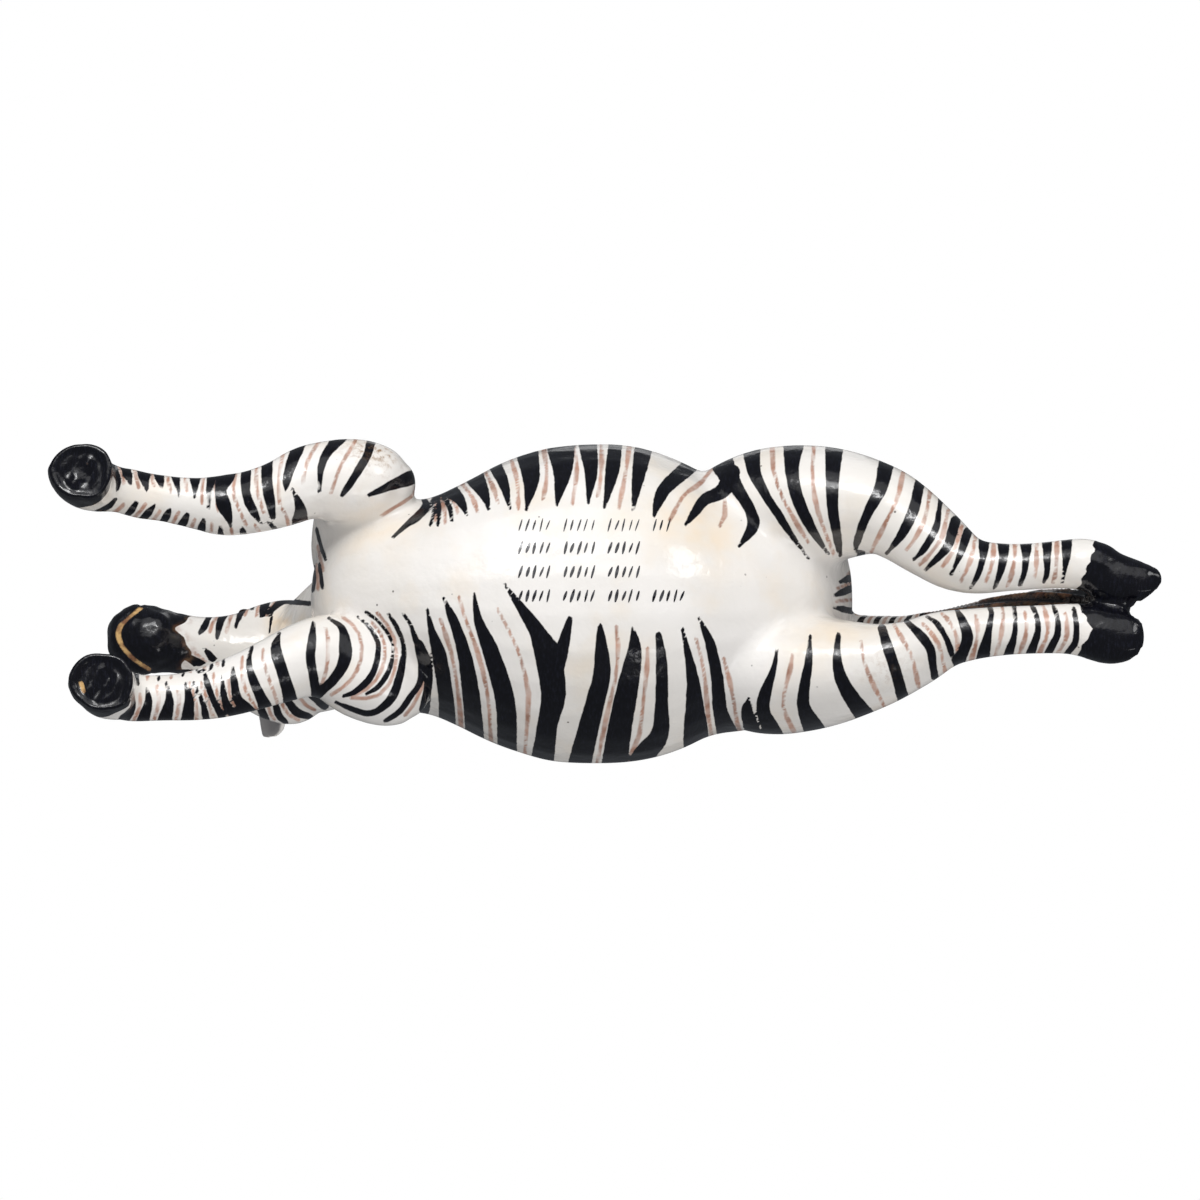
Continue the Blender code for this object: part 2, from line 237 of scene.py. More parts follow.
def headed(centres):
    """The unit direction of a curve at each of its points."""
    way = np.gradient(centres, axis=0)
    return way / np.linalg.norm(way, axis=1)[:, None]


def alike(vector, rows):
    """One vector repeated for each row."""
    return np.tile(vector, (len(rows), 1))


RING_POINTS = 28
EAR_POINTS = 20


def loft(centres, side, over, half_side, half_over, power=1.0):
    """One closed skin over rings of ellipses."""
    turn = np.linspace(0, 2 * np.pi, RING_POINTS, endpoint=False)
    across = np.sign(np.cos(turn)) * np.abs(np.cos(turn)) ** power
    up = np.sign(np.sin(turn)) * np.abs(np.sin(turn)) ** power
    points = []
    for c, s, o, a, b in zip(centres, side, over, half_side, half_over):
        points.append(c + np.outer(across * a, s) + np.outer(up * b, o))
    return np.concatenate(points), closed_faces(len(centres), RING_POINTS)


def rounded(rows, grow):
    """Extra rings that close both ends as a half ball."""
    rows = [np.array(r, float) for r in rows]
    head, tail = [], []
    for first, second, made in ((rows[0], rows[1], head), (rows[-1], rows[-2], tail)):
        way = first[:3] - second[:3]
        way = way / np.linalg.norm(way)
        reach = min(first[3], first[4]) * grow
        for part in (0.35, 0.65, 0.87, 0.98):
            ring = first.copy()
            ring[:3] = first[:3] + way * reach * part
            ring[3:] = first[3:] * np.sqrt(1 - part * part)
            made.append(ring)
    return head[::-1] + rows + tail


def limb(rows, grow=0.8, thick=1.0, reference=(0, 1, 0)):
    """A tapering limb along a curve, its rings square to the curve."""
    rows = smooth_between(rows, 4)
    rows[:, 3:5] *= thick
    rows = np.array(rounded(list(rows), grow))
    centres = rows[:, :3].copy()
    centres[:, 2] += AXIS
    way = headed(centres)
    reference = np.array(reference, float)
    side = reference - way * (way @ reference)[:, None]
    side /= np.linalg.norm(side, axis=1)[:, None]
    over = np.cross(way, side)
    return loft(centres, side, over, rows[:, 3], rows[:, 4])


def barrel():
    """The trunk, from breast to buttock."""
    rows = smooth_between(TRUNK, 4)
    top, low = rows[:, 3] * DEEP, rows[:, 4] * DEEP
    centres = np.stack([rows[:, 0], rows[:, 1], AXIS + (top + low) / 2], axis=1)
    side = alike((0.0, 1.0, 0.0), rows)
    over = alike((0.0, 0.0, 1.0), rows)
    return loft(centres, side, over, rows[:, 2] * WIDE, (top - low) / 2)


def ball(centre, radii):
    """A muscle as an ellipsoid."""
    rows = []
    for s in np.sin(np.linspace(-0.995, 0.995, 15) * np.pi / 2):
        ring = np.sqrt(1 - s * s)
        x = centre[0] + radii[0] * s
        rows.append((x, centre[1], centre[2] + AXIS, radii[1] * ring, radii[2] * ring))
    rows = np.array(rows)
    side = alike((0.0, 1.0, 0.0), rows)
    over = alike((0.0, 0.0, 1.0), rows)
    return loft(rows[:, :3], side, over, rows[:, 3], rows[:, 4])


def stood_hoof(x, y, turn):
    """A fore hoof planted flat, widest a little over its sole."""
    rows = [
        (x + 1.2, y - 0.8, -8, 8.6, 9.2),
        (x + 1.0, y - 0.6, -3, 9.0, 9.6),
        (x + 0.7, y - 0.4, 0, 9.3, 9.9),
        (x, y, 3.4, 9.9, 10.5),
        (x + 0.2, y + 0.4, 7.4, 9.7, 10.2),
        (x + 1.8, y + 0.8, 12, 8.9, 9.2),
        (x + 4.8, y + 1.0, 17, 8.1, 8.4),
        (x + 8.4, y + 1.0, 21, 7.2, 7.6),
    ]
    rows = smooth_between(rows, 3)
    c, s = np.cos(turn), np.sin(turn)
    side = alike((s, c, 0.0), rows)
    over = alike((-c, s, 0.0), rows)
    return loft(rows[:, :3], side, over, rows[:, 3], rows[:, 4])


def trailed_hoof(x, y, turn):
    """A hind hoof laid back on its toe, the sole turned up and back."""
    rows = [
        (x - 19, y - 3.2, 8.4, 7.4, 7.4, 0.1),
        (x - 15, y - 2.2, 7.7, 8.3, 8.2, 0.25),
        (x - 10, y - 1.1, 7.0, 8.8, 9.0, 0.45),
        (x - 6.2, y - 0.4, 6.7, 8.6, 9.5, 0.62),
        (x - 4.4, y, 7.1, 7.6, 8.8, 0.72),
    ]
    rows = smooth_between(rows, 4)
    lean = rows[:, 5]
    c, s = np.cos(turn), np.sin(turn)
    side = alike((-s, c, 0.0), rows)
    over = np.stack([-np.sin(lean) * c, -np.sin(lean) * s, np.cos(lean)], axis=1)
    return loft(rows[:, :3], side, over, rows[:, 3], rows[:, 4])


# An ear's half width along it, both as shares
EAR_SHAPE = [
    *((0, 0.52), (0.12, 0.72), (0.3, 0.96), (0.5, 1.0)),
    *((0.7, 0.82), (0.86, 0.5), (0.95, 0.27), (1.0, 0.1)),
]


def ear(root, tip, facing, width):
    """A leaf-shaped ear, hollowed on the side it faces."""
    root, tip = np.array(root, float), np.array(tip, float)
    way = (tip - root) / np.linalg.norm(tip - root)
    tip = root + way * EAR_LENGTH / UNIT
    facing = np.array(facing, float)
    facing = facing - way * (way @ facing)
    facing /= np.linalg.norm(facing)
    across = np.cross(way, facing)
    points = []
    turn = np.linspace(0, 2 * np.pi, EAR_POINTS, endpoint=False)
    for t, w in smooth_between(EAR_SHAPE, 3):
        half = width * max(w, 0.08)
        deep = 0.46 * half + 0.9
        hollow = 0.75 * half * np.sin(np.clip(t, 0, 1) * np.pi) ** 0.6
        a = np.cos(turn) * half
        b = np.sin(turn) * deep
        b = b - np.where(np.sin(turn) > 0, hollow * (1 - (a / half) ** 2) * np.sin(turn), 0)
        middle = root + (tip - root) * t
        points.append(middle + np.outer(a, across) + np.outer(b, facing))
    faces = closed_faces(len(points), EAR_POINTS)
    points = np.concatenate(points)
    points[:, 2] += AXIS
    return points, faces


def mane():
    """A short upright crest along the top of the neck."""
    rows = smooth_between(MANE, 5)
    half = MANE_THICKNESS / UNIT / 2
    centres = rows[:, :3].copy()
    centres[:, 2] += AXIS + rows[:, 3] - 12
    side = alike((0.0, 1.0, 0.0), rows)
    way = headed(centres)
    over = np.cross(way, side)
    over *= np.sign(over[:, 2])[:, None]
    return loft(centres, side, over, half * np.ones(len(rows)), 12 * np.ones(len(rows)), 0.7)


# Places that the body and its paint share: x and y of the fore hooves, and the right ear
HOOF_LEFT = (-165.2, -30.2)
HOOF_RIGHT = (-157.0, 36.6)
RIGHT_EAR_ROOT = (-117, 20, 77)
RIGHT_EAR_TIP = (-124.5, 34, 92.5)


def body_parts():
    """Every part of the animal, each one closed."""
    return [
        barrel(),
        limb(NECK),
        limb(HEAD, 0.55, FACE),
        limb(FORELEG_LEFT, 0.7, SHANK),
        limb(FORELEG_RIGHT, 0.7, SHANK),
        limb(SHOULDER_LEFT, 0.6, 1.0, (0.3, 1, 0)),
        limb(SHOULDER_RIGHT, 0.6, 1.0, (-0.3, 1, 0)),
        limb(HINDLEG_LEFT, 0.7, SHANK),
        limb(HINDLEG_RIGHT, 0.7, SHANK),
        limb(TAIL, 0.8, TAIL_WIDTH / UNIT / 10.0),
        mane(),
        ball((-108, 22.5, 63.5), (9, 6 * FACE, 9)),
        ball((-108, -3.5, 63.5), (9, 6 * FACE, 9)),
        ball((-127, 20.6, 70), (5.4, 3.8 * FACE, 4.2)),
        ball((-127, -4, 70), (5.4, 3.8 * FACE, 4.2)),
        ball((-163.5, 12.4, 53.5), (4.6, 3.2 * FACE, 4)),
        ball((-163.5, -4.4, 53.5), (4.6, 3.2 * FACE, 4)),
        ball((-158, 4.4, 43.4), (8.6, 9.4 * FACE, 5)),
        ball((111.5, -6.4, -32.5), (6.4, 5, 4.6)),
        ball((111.5, 18, -33.5), (6.2, 4.6, 4.4)),
        stood_hoof(*HOOF_LEFT, 0.45),
        stood_hoof(*HOOF_RIGHT, 0.1),
        trailed_hoof(172, 3.6, 0.24),
        trailed_hoof(166, 21.6, 0.08),
        ear(RIGHT_EAR_ROOT, RIGHT_EAR_TIP, (-0.6, 0.2, -0.7), 6.8),
        ear((-115, -1, 79), (-120, -9, 101), (-0.9, -0.35, -0.2), 6.8),
    ]


def joined(parts, name):
    """All parts as one mesh, still cutting through each other."""
    points, faces, start = [], [], 0
    for part_points, part_faces in parts:
        points.append(part_points)
        faces.extend(tuple(start + i for i in face) for face in part_faces)
        start += len(part_points)
    mesh = bpy.data.meshes.new(name)
    mesh.from_pydata((np.concatenate(points) * UNIT).tolist(), [], faces)
    mesh.update()
    work = bmesh.new()
    work.from_mesh(mesh)
    bmesh.ops.recalc_face_normals(work, faces=work.faces)
    work.to_mesh(mesh)
    work.free()
    return mesh


def baked(mesh, kind, **settings):
    """The mesh with one modifier worked in."""
    holder = bpy.data.objects.new("holder", mesh)
    bpy.context.scene.collection.objects.link(holder)
    modifier = holder.modifiers.new("work", kind)
    for key, value in settings.items():
        setattr(modifier, key, value)
    graph = bpy.context.evaluated_depsgraph_get()
    made = bpy.data.meshes.new_from_object(holder.evaluated_get(graph))
    bpy.data.objects.remove(holder)
    return made


def triples(values, key):
    """A mesh's places or directions, as rows of three."""
    read = np.empty(len(values) * 3)
    values.foreach_get(key, read)
    return read.reshape(-1, 3)


def softened(mesh, rounds, hollows, ridges):
    """Creases are filled in faster than ridges are worn down."""
    count = len(mesh.vertices)
    points = triples(mesh.vertices, "co")
    edges = np.empty(len(mesh.edges) * 2, int)
    mesh.edges.foreach_get("vertices", edges)
    edges = edges.reshape(-1, 2)
    near = np.bincount(edges.ravel(), minlength=count)[:, None]
    for _ in range(rounds):
        total = np.zeros_like(points)
        for k in range(3):
            total[:, k] = np.bincount(edges[:, 0], points[edges[:, 1], k], count)
            total[:, k] += np.bincount(edges[:, 1], points[edges[:, 0], k], count)
        pull = total / near - points
        mesh.vertices.foreach_set("co", points.ravel())
        mesh.update()
        outward = (pull * triples(mesh.vertex_normals, "vector")).sum(axis=1)
        points = points + pull * np.where(outward > 0, hollows, ridges)[:, None]
    mesh.vertices.foreach_set("co", points.ravel())
    mesh.update()
    return mesh


MM = 0.001
FAR_OUT = 9.0  # in mm, for what no paint is near


def axis_of(rows):
    """Dense stations of a limb with the frame of each ring."""
    rows = smooth_between(rows, 6)
    centres = rows[:, :3].copy()
    centres[:, 2] += AXIS
    way = headed(centres)
    side = np.array((0.0, 1.0, 0.0)) - way * way[:, 1:2]
    side /= np.linalg.norm(side, axis=1)[:, None]
    over = np.cross(way, side)
    step = np.linalg.norm(np.diff(centres, axis=0), axis=1)
    return centres, way, side, over, rows[:, 3], rows[:, 4], np.r_[0, np.cumsum(step)]


def along(axis, points):
    """Each point's way along a limb, its offset to the side and over, and how far it is outside."""
    centres, way, side, over, half_side, half_over, reach = axis
    best = np.empty(len(points), int)
    for start in range(0, len(points), 4000):
        part = points[start : start + 4000, None] - centres[None]
        best[start : start + 4000] = (part**2).sum(axis=2).argmin(axis=1)
    off = points - centres[best]
    ahead = (off * way[best]).sum(axis=1)
    a = (off * side[best]).sum(axis=1)
    b = (off * over[best]).sum(axis=1)
    ra, rb = half_side[best], half_over[best]
    before = np.where((best == 0) & (ahead < 0), -ahead, 0)
    beyond = before + np.where((best == len(centres) - 1) & (ahead > 0), ahead, 0)
    outside = (np.sqrt((a / ra) ** 2 + (b / rb) ** 2) - 1) * np.minimum(ra, rb)
    outside = np.where(beyond > 0, np.hypot(np.maximum(outside, 0), beyond), outside)
    return reach[best] + ahead, a, b, outside


def eased(low, high, value):
    """From 0 at low to 1 at high, with soft ends."""
    t = np.clip((value - low) / (high - low), 0, 1)
    return t * t * (3 - 2 * t)


THINNEST = 0.6  # half width in mm, below which a stroke breaks into dots on this skin


def stroke_field(chart, strokes):
    """How far each point of a chart is outside the nearest brush stroke, in mm."""
    field = np.full(len(chart), FAR_OUT)
    for line in strokes:
        line = np.array(line, float)
        low, high = line[:, :2].min(axis=0) - 8, line[:, :2].max(axis=0) + 8
        near = np.flatnonzero(((chart > low) & (chart < high)).all(axis=1))
        if not len(near):
            continue
        at = chart[near]
        best = field[near]
        for here, there in zip(line[:-1], line[1:]):
            span = there[:2] - here[:2]
            t = np.clip(((at - here[:2]) @ span) / max(span @ span, 1e-9), 0, 1)
            gap = np.linalg.norm(at - here[:2] - t[:, None] * span, axis=1)
            half = np.maximum(here[2] + t * (there[2] - here[2]), THINNEST)
            best = np.minimum(best, gap - half)
        field[near] = best
    return field


def brushed(points, steps=4, longer=0.0, broad=1.1):
    """A brush stroke as a fine polyline of places and half widths, its root drawn out."""
    points = np.array(points, float)
    points[:, 2] = points[:, 2] * broad + 0.1
    if longer:
        way = points[0, :2] - points[1, :2]
        root = np.r_[points[0, :2] + way / np.linalg.norm(way) * longer, points[0, 2]]
        points = np.vstack([root, points])
    return smooth_between(points, steps) if len(points) > 2 else points


def curled(marks, per_radian):
    """A stroke given by its way along a limb, radians round it and half widths, on that limb's chart."""
    return brushed([(at, turned * per_radian, half) for at, turned, half in marks])


APART = 16  # mm between roots, past which no brown line is painted


def evenly(line, count=9):
    """A stroke's places and widths at even steps along it."""
    reach = np.r_[0, np.cumsum(np.linalg.norm(np.diff(line[:, :2], axis=0), axis=1))]
    at = np.linspace(0, reach[-1], count)
    return np.stack([np.interp(at, reach, line[:, k]) for k in range(3)], axis=1)


def lines_between(strokes, half):
    """Thin brown lines halfway between one stroke and the next, unless those are far apart."""
    made = []
    for k, (one, other) in enumerate(zip(strokes[:-1], strokes[1:])):
        one, other = evenly(one), evenly(other)
        if np.linalg.norm(one[0, :2] - other[0, :2]) > APART:
            continue
        line = (one + other) / 2
        line = line[: 8 + k % 2]
        line[:, 2] = half * (0.85 + 0.3 * np.sin(np.arange(len(line)) * 1.3 + k * 2.1))
        line[-1, 2] *= 0.5
        made.append(line)
    return made


# The photograph's eye: under the figure, a little to its right. Places in view are in mm
# on the plane through the middle of the barrel, to the right and down from the middle.
ROLL = math.radians(10)
FAR = 930.0
MIDDLE = np.array((-0.6, -0.95, 64.0))
LOOK = np.array((0, -math.sin(ROLL), math.cos(ROLL)))
DOWN = np.array((0, math.cos(ROLL), math.sin(ROLL)))
EYE = MIDDLE - LOOK * FAR


def in_view(points):
    """Where points appear in the photograph, in mm to the right and down."""
    off = points - EYE
    return np.stack([off[:, 0], off @ DOWN], axis=1) * (FAR / (off @ LOOK))[:, None]


def on_skin(u, v):
    """The skin's point behind a place in view, or the nearest one inward of it."""
    for _ in range(24):
        ray = Vector(LOOK + (np.array((1, 0, 0)) * u + DOWN * v) / FAR)
        spot = tree.ray_cast(Vector(EYE), ray.normalized())[0]
        if spot:
            return spot
        v -= 0.4 * math.copysign(1, v)
    return Vector((u, v, 50))


ROUND = 50  # mm of chart for one radian round the barrel


def round_barrel(points):
    """Chart of the barrel: along it, and round it from the belly line."""
    turn = np.arctan2(points[:, 1] - 0.3, -(points[:, 2] - 60))
    return np.stack([points[:, 0], turn * ROUND], axis=1)


def barrel_strokes(rows):
    """Strokes read in view, laid on the barrel's chart and carried on to the spine."""
    made = []
    for row in rows:
        spots = round_barrel(np.array([on_skin(u, v) for u, v, _ in row]))
        line = [(x, a, w) for (x, a), (_, _, w) in zip(spots, row)]
        x, a, w = line[0]
        if abs(a) > 0.9 * ROUND:
            side = math.copysign(math.pi * ROUND, a)
            top = x + 0.09 * (x + 8)
            line = [(top, side, 0.75 * w), (x + 0.6 * (top - x), 0.45 * a + 0.55 * side, w)] + line
        made.append(brushed(line))
    return made


# Enlargements that strokes were read in: left and top edge in the photograph's
# pixels, and how many times enlarged
FORE_TOP = (30, 430, 6.5)
BREAST_TOP = (300, 430, 8)
FORE_LOW = (90, 590, 8)
BREAST_LOW = (300, 590, 9)
FLANK_TOP = (420, 435, 5.4)
FLANK_LOW = (400, 570, 4.9)
HIND_TOP = (690, 435, 7)
HIND_LOW = (730, 590, 7.5)
FEET = (920, 525, 8)
PHOTO_MIDDLE = (600, 603)  # the photograph's pixel at the middle of the figure
PIXELS_PER_MM = 3
FINEST = 0.3  # half width of a stroke's tip, in mm


def read_in(enlargement, strokes):
    """Strokes as places in view: right, down and half width, to the half millimetre."""
    left, top, times = enlargement
    made = []
    for stroke in strokes:
        line = []
        for x, y, width in stroke:
            u = (left + x / times - PHOTO_MIDDLE[0]) / PIXELS_PER_MM
            v = (top + y / times - PHOTO_MIDDLE[1]) / PIXELS_PER_MM
            half = width / (2 * PIXELS_PER_MM * times)
            line.append((round(2 * u) / 2, round(2 * v) / 2, max(FINEST, round(half, 1))))
        made.append(line)
    return made


# Brush strokes, root first: right, down and whole width, in the enlargement's pixels
LEFT_FORE = read_in(FORE_TOP, [
    [(560, 278, 40), (575, 330, 30), (567, 390, 8)],
    [(630, 283, 50), (648, 320, 35), (655, 358, 8)],
    [(740, 288, 70), (750, 340, 38), (757, 392, 8)],
    [(840, 290, 60), (850, 330, 38), (857, 376, 8)],
    [(950, 293, 50), (960, 350, 32), (972, 432, 8)],
    [(1075, 308, 65), (1075, 370, 34), (1077, 438, 8)],
    [(1180, 303, 50), (1165, 400, 24), (1157, 515, 8)],
    [(1270, 308, 100), (1242, 380, 66), (1260, 480, 80), (1290, 560, 50), (1308, 625, 8)],
    [(1405, 270, 60), (1402, 400, 52), (1445, 510, 50), (1500, 605, 12)],
    [(1545, 205, 65), (1540, 330, 62), (1557, 460, 60), (1580, 570, 28)],
    [(1745, 115, 70), (1695, 230, 62), (1672, 330, 42), (1672, 392, 8)],
]) + read_in(BREAST_TOP, [
    [(310, 66, 90), (215, 180, 62), (165, 310, 50), (155, 490, 10)],
    [(565, 110, 62), (535, 200, 56), (480, 310, 56), (400, 440, 50), (338, 518, 30)],
    [(845, 400, 95), (740, 432, 70), (640, 480, 42), (555, 515, 22)],
    [(985, 545, 30), (1005, 620, 60), (930, 700, 56), (840, 770, 34), (740, 850, 8)],
])
LEFT_FORE_LOW = read_in(FORE_TOP, [
    [(440, 530, 20), (505, 500, 36), (552, 450, 20)],
    [(620, 558, 25), (665, 520, 38), (690, 470, 25)],
    [(735, 583, 35), (775, 540, 42), (812, 490, 15)],
    [(855, 604, 35), (885, 560, 42), (908, 518, 18)],
    [(975, 634, 50), (1005, 590, 42), (1020, 552, 22)],
    [(1115, 658, 45), (1125, 615, 40), (1130, 575, 15)],
    [(1240, 672, 34), (1240, 632, 8)],
    [(1380, 662, 34), (1372, 636, 8)],
    [(1570, 618, 24), (1548, 596, 8)],
    [(1755, 590, 90), (1752, 500, 60), (1705, 385, 10)],
])
FLANK_HOOK = [
    [(42.5, -40.5, 2.2), (40.5, -37, 2.1), (35, -34.5, 1.7), (31.5, -30, 1.2), (28.5, -26, 0.3)],
    [
        *((39.5, -51, 3.2), (41.5, -45, 3.3), (45.5, -38.5, 2.0)),
        *((50, -31, 1.6), (51, -25.5, 1.8), (46.5, -19, 0.3)),
    ],
]
LEFT_BARREL = read_in(FLANK_TOP, [
    [(75, 345, 16), (72, 430, 14), (60, 485, 6)],
    [(100, 345, 22), (103, 430, 20), (97, 490, 6)],
    [(133, 340, 20), (160, 400, 22), (168, 458, 8)],
    [(165, 296, 75), (215, 360, 48), (255, 432, 8)],
    [(300, 232, 90), (345, 320, 48), (370, 402, 8)],
    [(412, 180, 60), (450, 270, 50), (488, 395, 8)],
    [(583, 120, 105), (600, 240, 78), (575, 402, 8)],
    [(762, 80, 128), (772, 200, 88), (740, 382, 8)],
    [(905, 60, 88), (920, 200, 62), (905, 368, 8)],
    [(1050, 75, 66), (1040, 200, 66), (997, 388, 8)],
    [(1202, 110, 82), (1175, 250, 56), (1150, 402, 8)],
    [(1430, 185, 75), (1330, 280, 66), (1290, 360, 48), (1262, 437, 8)],
]) + FLANK_HOOK
LEFT_HIND = read_in(HIND_TOP, [
    [(430, 105, 108), (450, 260, 80), (540, 430, 56), (640, 590, 50), (740, 740, 30), (830, 865, 8)],
    [(725, 75, 125), (710, 250, 86), (760, 450, 76), (850, 650, 60), (965, 830, 8)],
    [(1012, 115, 108), (1000, 300, 86), (1000, 500, 66), (1030, 700, 56), (1055, 838, 25)],
    [(1368, 245, 92), (1330, 380, 80), (1240, 560, 60), (1180, 720, 46), (1158, 818, 15)],
    [(1598, 390, 62), (1560, 520, 66), (1490, 680, 60), (1375, 830, 12)],
    [(1748, 520, 28), (1720, 650, 40), (1640, 800, 40), (1560, 870, 8)],
]) + read_in(FEET, [
    [(262, 50, 72), (220, 170, 62), (140, 270, 46), (42, 364, 20)],
    [(352, 128, 64), (320, 240, 42), (245, 400, 8)],
    [(510, 140, 78), (500, 280, 42), (460, 400, 40), (403, 502, 14)],
    [(665, 140, 88), (665, 250, 62), (640, 370, 46), (597, 498, 22)],
    [(845, 135, 84), (845, 250, 52), (835, 370, 36), (803, 474, 30)],
    [(1018, 120, 74), (1020, 250, 52), (1010, 380, 40), (994, 460, 20)],
    [(1168, 96, 78), (1170, 230, 62), (1155, 340, 32), (1132, 464, 8)],
])
RIGHT_FORE = read_in(FORE_LOW, [
    [(262, 1055, 70), (340, 940, 52), (340, 790, 8)],
    [(425, 1062, 90), (465, 900, 52), (460, 785, 8)],
    [(605, 1045, 100), (640, 880, 58), (613, 738, 8)],
    [(785, 1030, 90), (790, 860, 58), (758, 738, 8)],
    [(925, 1005, 50), (900, 890, 34), (828, 740, 8)],
    [(1045, 990, 50), (990, 870, 42), (940, 740, 42), (915, 640, 14)],
    [(1170, 995, 70), (1110, 945, 56), (1065, 830, 40), (1050, 690, 10)],
    [(1262, 968, 100), (1180, 860, 62), (1150, 720, 46), (1140, 615, 16)],
    [(1405, 945, 95), (1370, 860, 78), (1310, 730, 62), (1275, 580, 36), (1300, 450, 8)],
    [(1612, 905, 105), (1590, 800, 92), (1530, 640, 82), (1490, 480, 76), (1510, 345, 8)],
])
RIGHT_FORE_HIGH = read_in(FORE_LOW, [
    [(372, 662, 34), (380, 752, 8)],
    [(540, 655, 30), (546, 718, 8)],
    [(738, 640, 24), (742, 674, 10)],
    [(856, 612, 26), (858, 660, 10)],
    [(970, 578, 18), (968, 630, 8)],
    [(1068, 552, 18), (1064, 612, 8)],
])
ELBOW = read_in(BREAST_LOW, [
    [(150, 940, 110), (120, 780, 92), (100, 600, 95), (105, 450, 85), (118, 290, 40)],
    [(170, 930, 90), (330, 780, 102), (400, 620, 128), (410, 500, 128), (375, 345, 70), (258, 252, 10)],
    [
        *((390, 958, 25), (500, 910, 60), (620, 800, 72), (690, 660, 60)),
        *((700, 480, 50), (620, 330, 42), (512, 244, 12)),
    ],
    [
        *((590, 934, 20), (700, 870, 46), (790, 740, 46), (835, 560, 28)),
        *((810, 430, 30), (720, 290, 24), (598, 204, 8)),
    ],
    [
        *((320, 1005, 20), (450, 1068, 50), (620, 1112, 62), (750, 1050, 78), (850, 930, 90)),
        *((915, 700, 76), (930, 500, 42), (880, 350, 46), (790, 212, 20)),
    ],
    [
        *((770, 1180, 44), (900, 1085, 60), (1000, 960, 62), (1080, 830, 62)),
        *((1095, 690, 70), (1060, 520, 70), (1000, 320, 36), (925, 205, 20)),
    ],
    [(1120, 1070, 110), (1150, 900, 80), (1165, 760, 80), (1140, 620, 80), (1075, 480, 70)],
])
RIGHT_BARREL = read_in(FLANK_LOW, [
    [(232, 715, 72), (220, 600, 66), (195, 420, 62), (160, 300, 32), (136, 188, 10)],
    [(362, 770, 80), (345, 600, 76), (310, 400, 56), (260, 240, 42), (213, 143, 10)],
    [(525, 860, 86), (520, 640, 86), (440, 400, 72), (385, 250, 38), (363, 118, 8)],
    [
        *((700, 915, 100), (722, 760, 88), (755, 600, 110), (720, 420, 112)),
        *((670, 300, 72), (600, 190, 42), (513, 68, 8)),
    ],
    [(768, 480, 70), (805, 350, 52), (830, 233, 20)],
    [(885, 930, 100), (945, 700, 86), (985, 520, 76), (990, 400, 60), (978, 272, 20)],
    [(1050, 935, 112), (1085, 740, 102), (1120, 560, 92), (1150, 400, 62), (1145, 278, 10)],
    [(1205, 890, 92), (1272, 800, 76), (1285, 650, 56), (1278, 450, 46), (1265, 313, 24)],
    [(1452, 815, 112), (1440, 650, 76), (1425, 500, 48), (1383, 288, 8)],
    [(1605, 800, 92), (1565, 680, 62), (1550, 520, 52), (1520, 350, 42), (1468, 235, 10)],
    [(1735, 810, 64), (1700, 700, 54), (1708, 632, 8)],
])
RIGHT_HOCK = [[(118, 19.5, 0.5), (117, 16, 0.9), (115.5, 12, 0.8), (112.5, 7, 0.8), (109, 4.5, 0.4)]]
RIGHT_PASTERN = [[(156, 16.5, 0.9), (158.4, 13, 0.9), (158.8, 7.5, 0.8), (157.8, 2, 0.6)]]
RIGHT_HIND = read_in(HIND_LOW, [
    [(325, 1075, 112), (250, 920, 90), (260, 780, 80), (325, 580, 38), (356, 432, 14)],
    [(635, 1055, 140), (560, 880, 88), (555, 750, 72), (590, 550, 56), (600, 348, 8)],
    [(990, 915, 120), (900, 800, 102), (830, 640, 82), (805, 480, 48), (812, 338, 26)],
    [(1272, 728, 78), (1240, 600, 72), (1180, 430, 72), (1142, 290, 52)],
    [(1518, 568, 50), (1500, 430, 60), (1420, 330, 60), (1315, 238, 26)],
]) + RIGHT_HOCK + read_in(FEET, [
    [(335, 1060, 74), (375, 900, 82), (350, 780, 62), (300, 682, 28)],
    [(515, 1015, 84), (545, 850, 48), (570, 720, 34), (556, 660, 34)],
    [(715, 1010, 64), (750, 900, 42), (766, 780, 30), (758, 652, 28)],
    [(893, 1000, 64), (940, 850, 42), (935, 730, 32), (902, 642, 28)],
    [(1042, 1000, 54), (1095, 880, 46), (1105, 760, 32), (1062, 638, 24)],
]) + RIGHT_PASTERN
CHIN = read_in(FORE_LOW, [
    [(940, 245, 40), (915, 292, 50), (878, 338, 26)],
    [(1112, 148, 24), (1060, 220, 52), (1038, 300, 42), (1022, 384, 30)],
    [(1245, 92, 34), (1210, 165, 46), (1168, 292, 14)],
    [(1325, 76, 24), (1295, 156, 10)],
    [(1445, 56, 34), (1390, 140, 56), (1364, 268, 12)],
    [(1700, 98, 34), (1560, 92, 42), (1470, 152, 38), (1434, 224, 12)],
    [(1010, 580, 54), (960, 522, 46), (916, 462, 16)],
    [(880, 600, 70), (820, 560, 56), (720, 515, 30)],
    [(1810, 870, 60), (1870, 915, 70)],
    [(1600, 905, 54), (1650, 985, 62), (1760, 1010, 40)],
    [(1490, 935, 44), (1515, 1005, 52), (1570, 1062, 30)],
    [(1370, 960, 60), (1400, 1040, 60)],
])
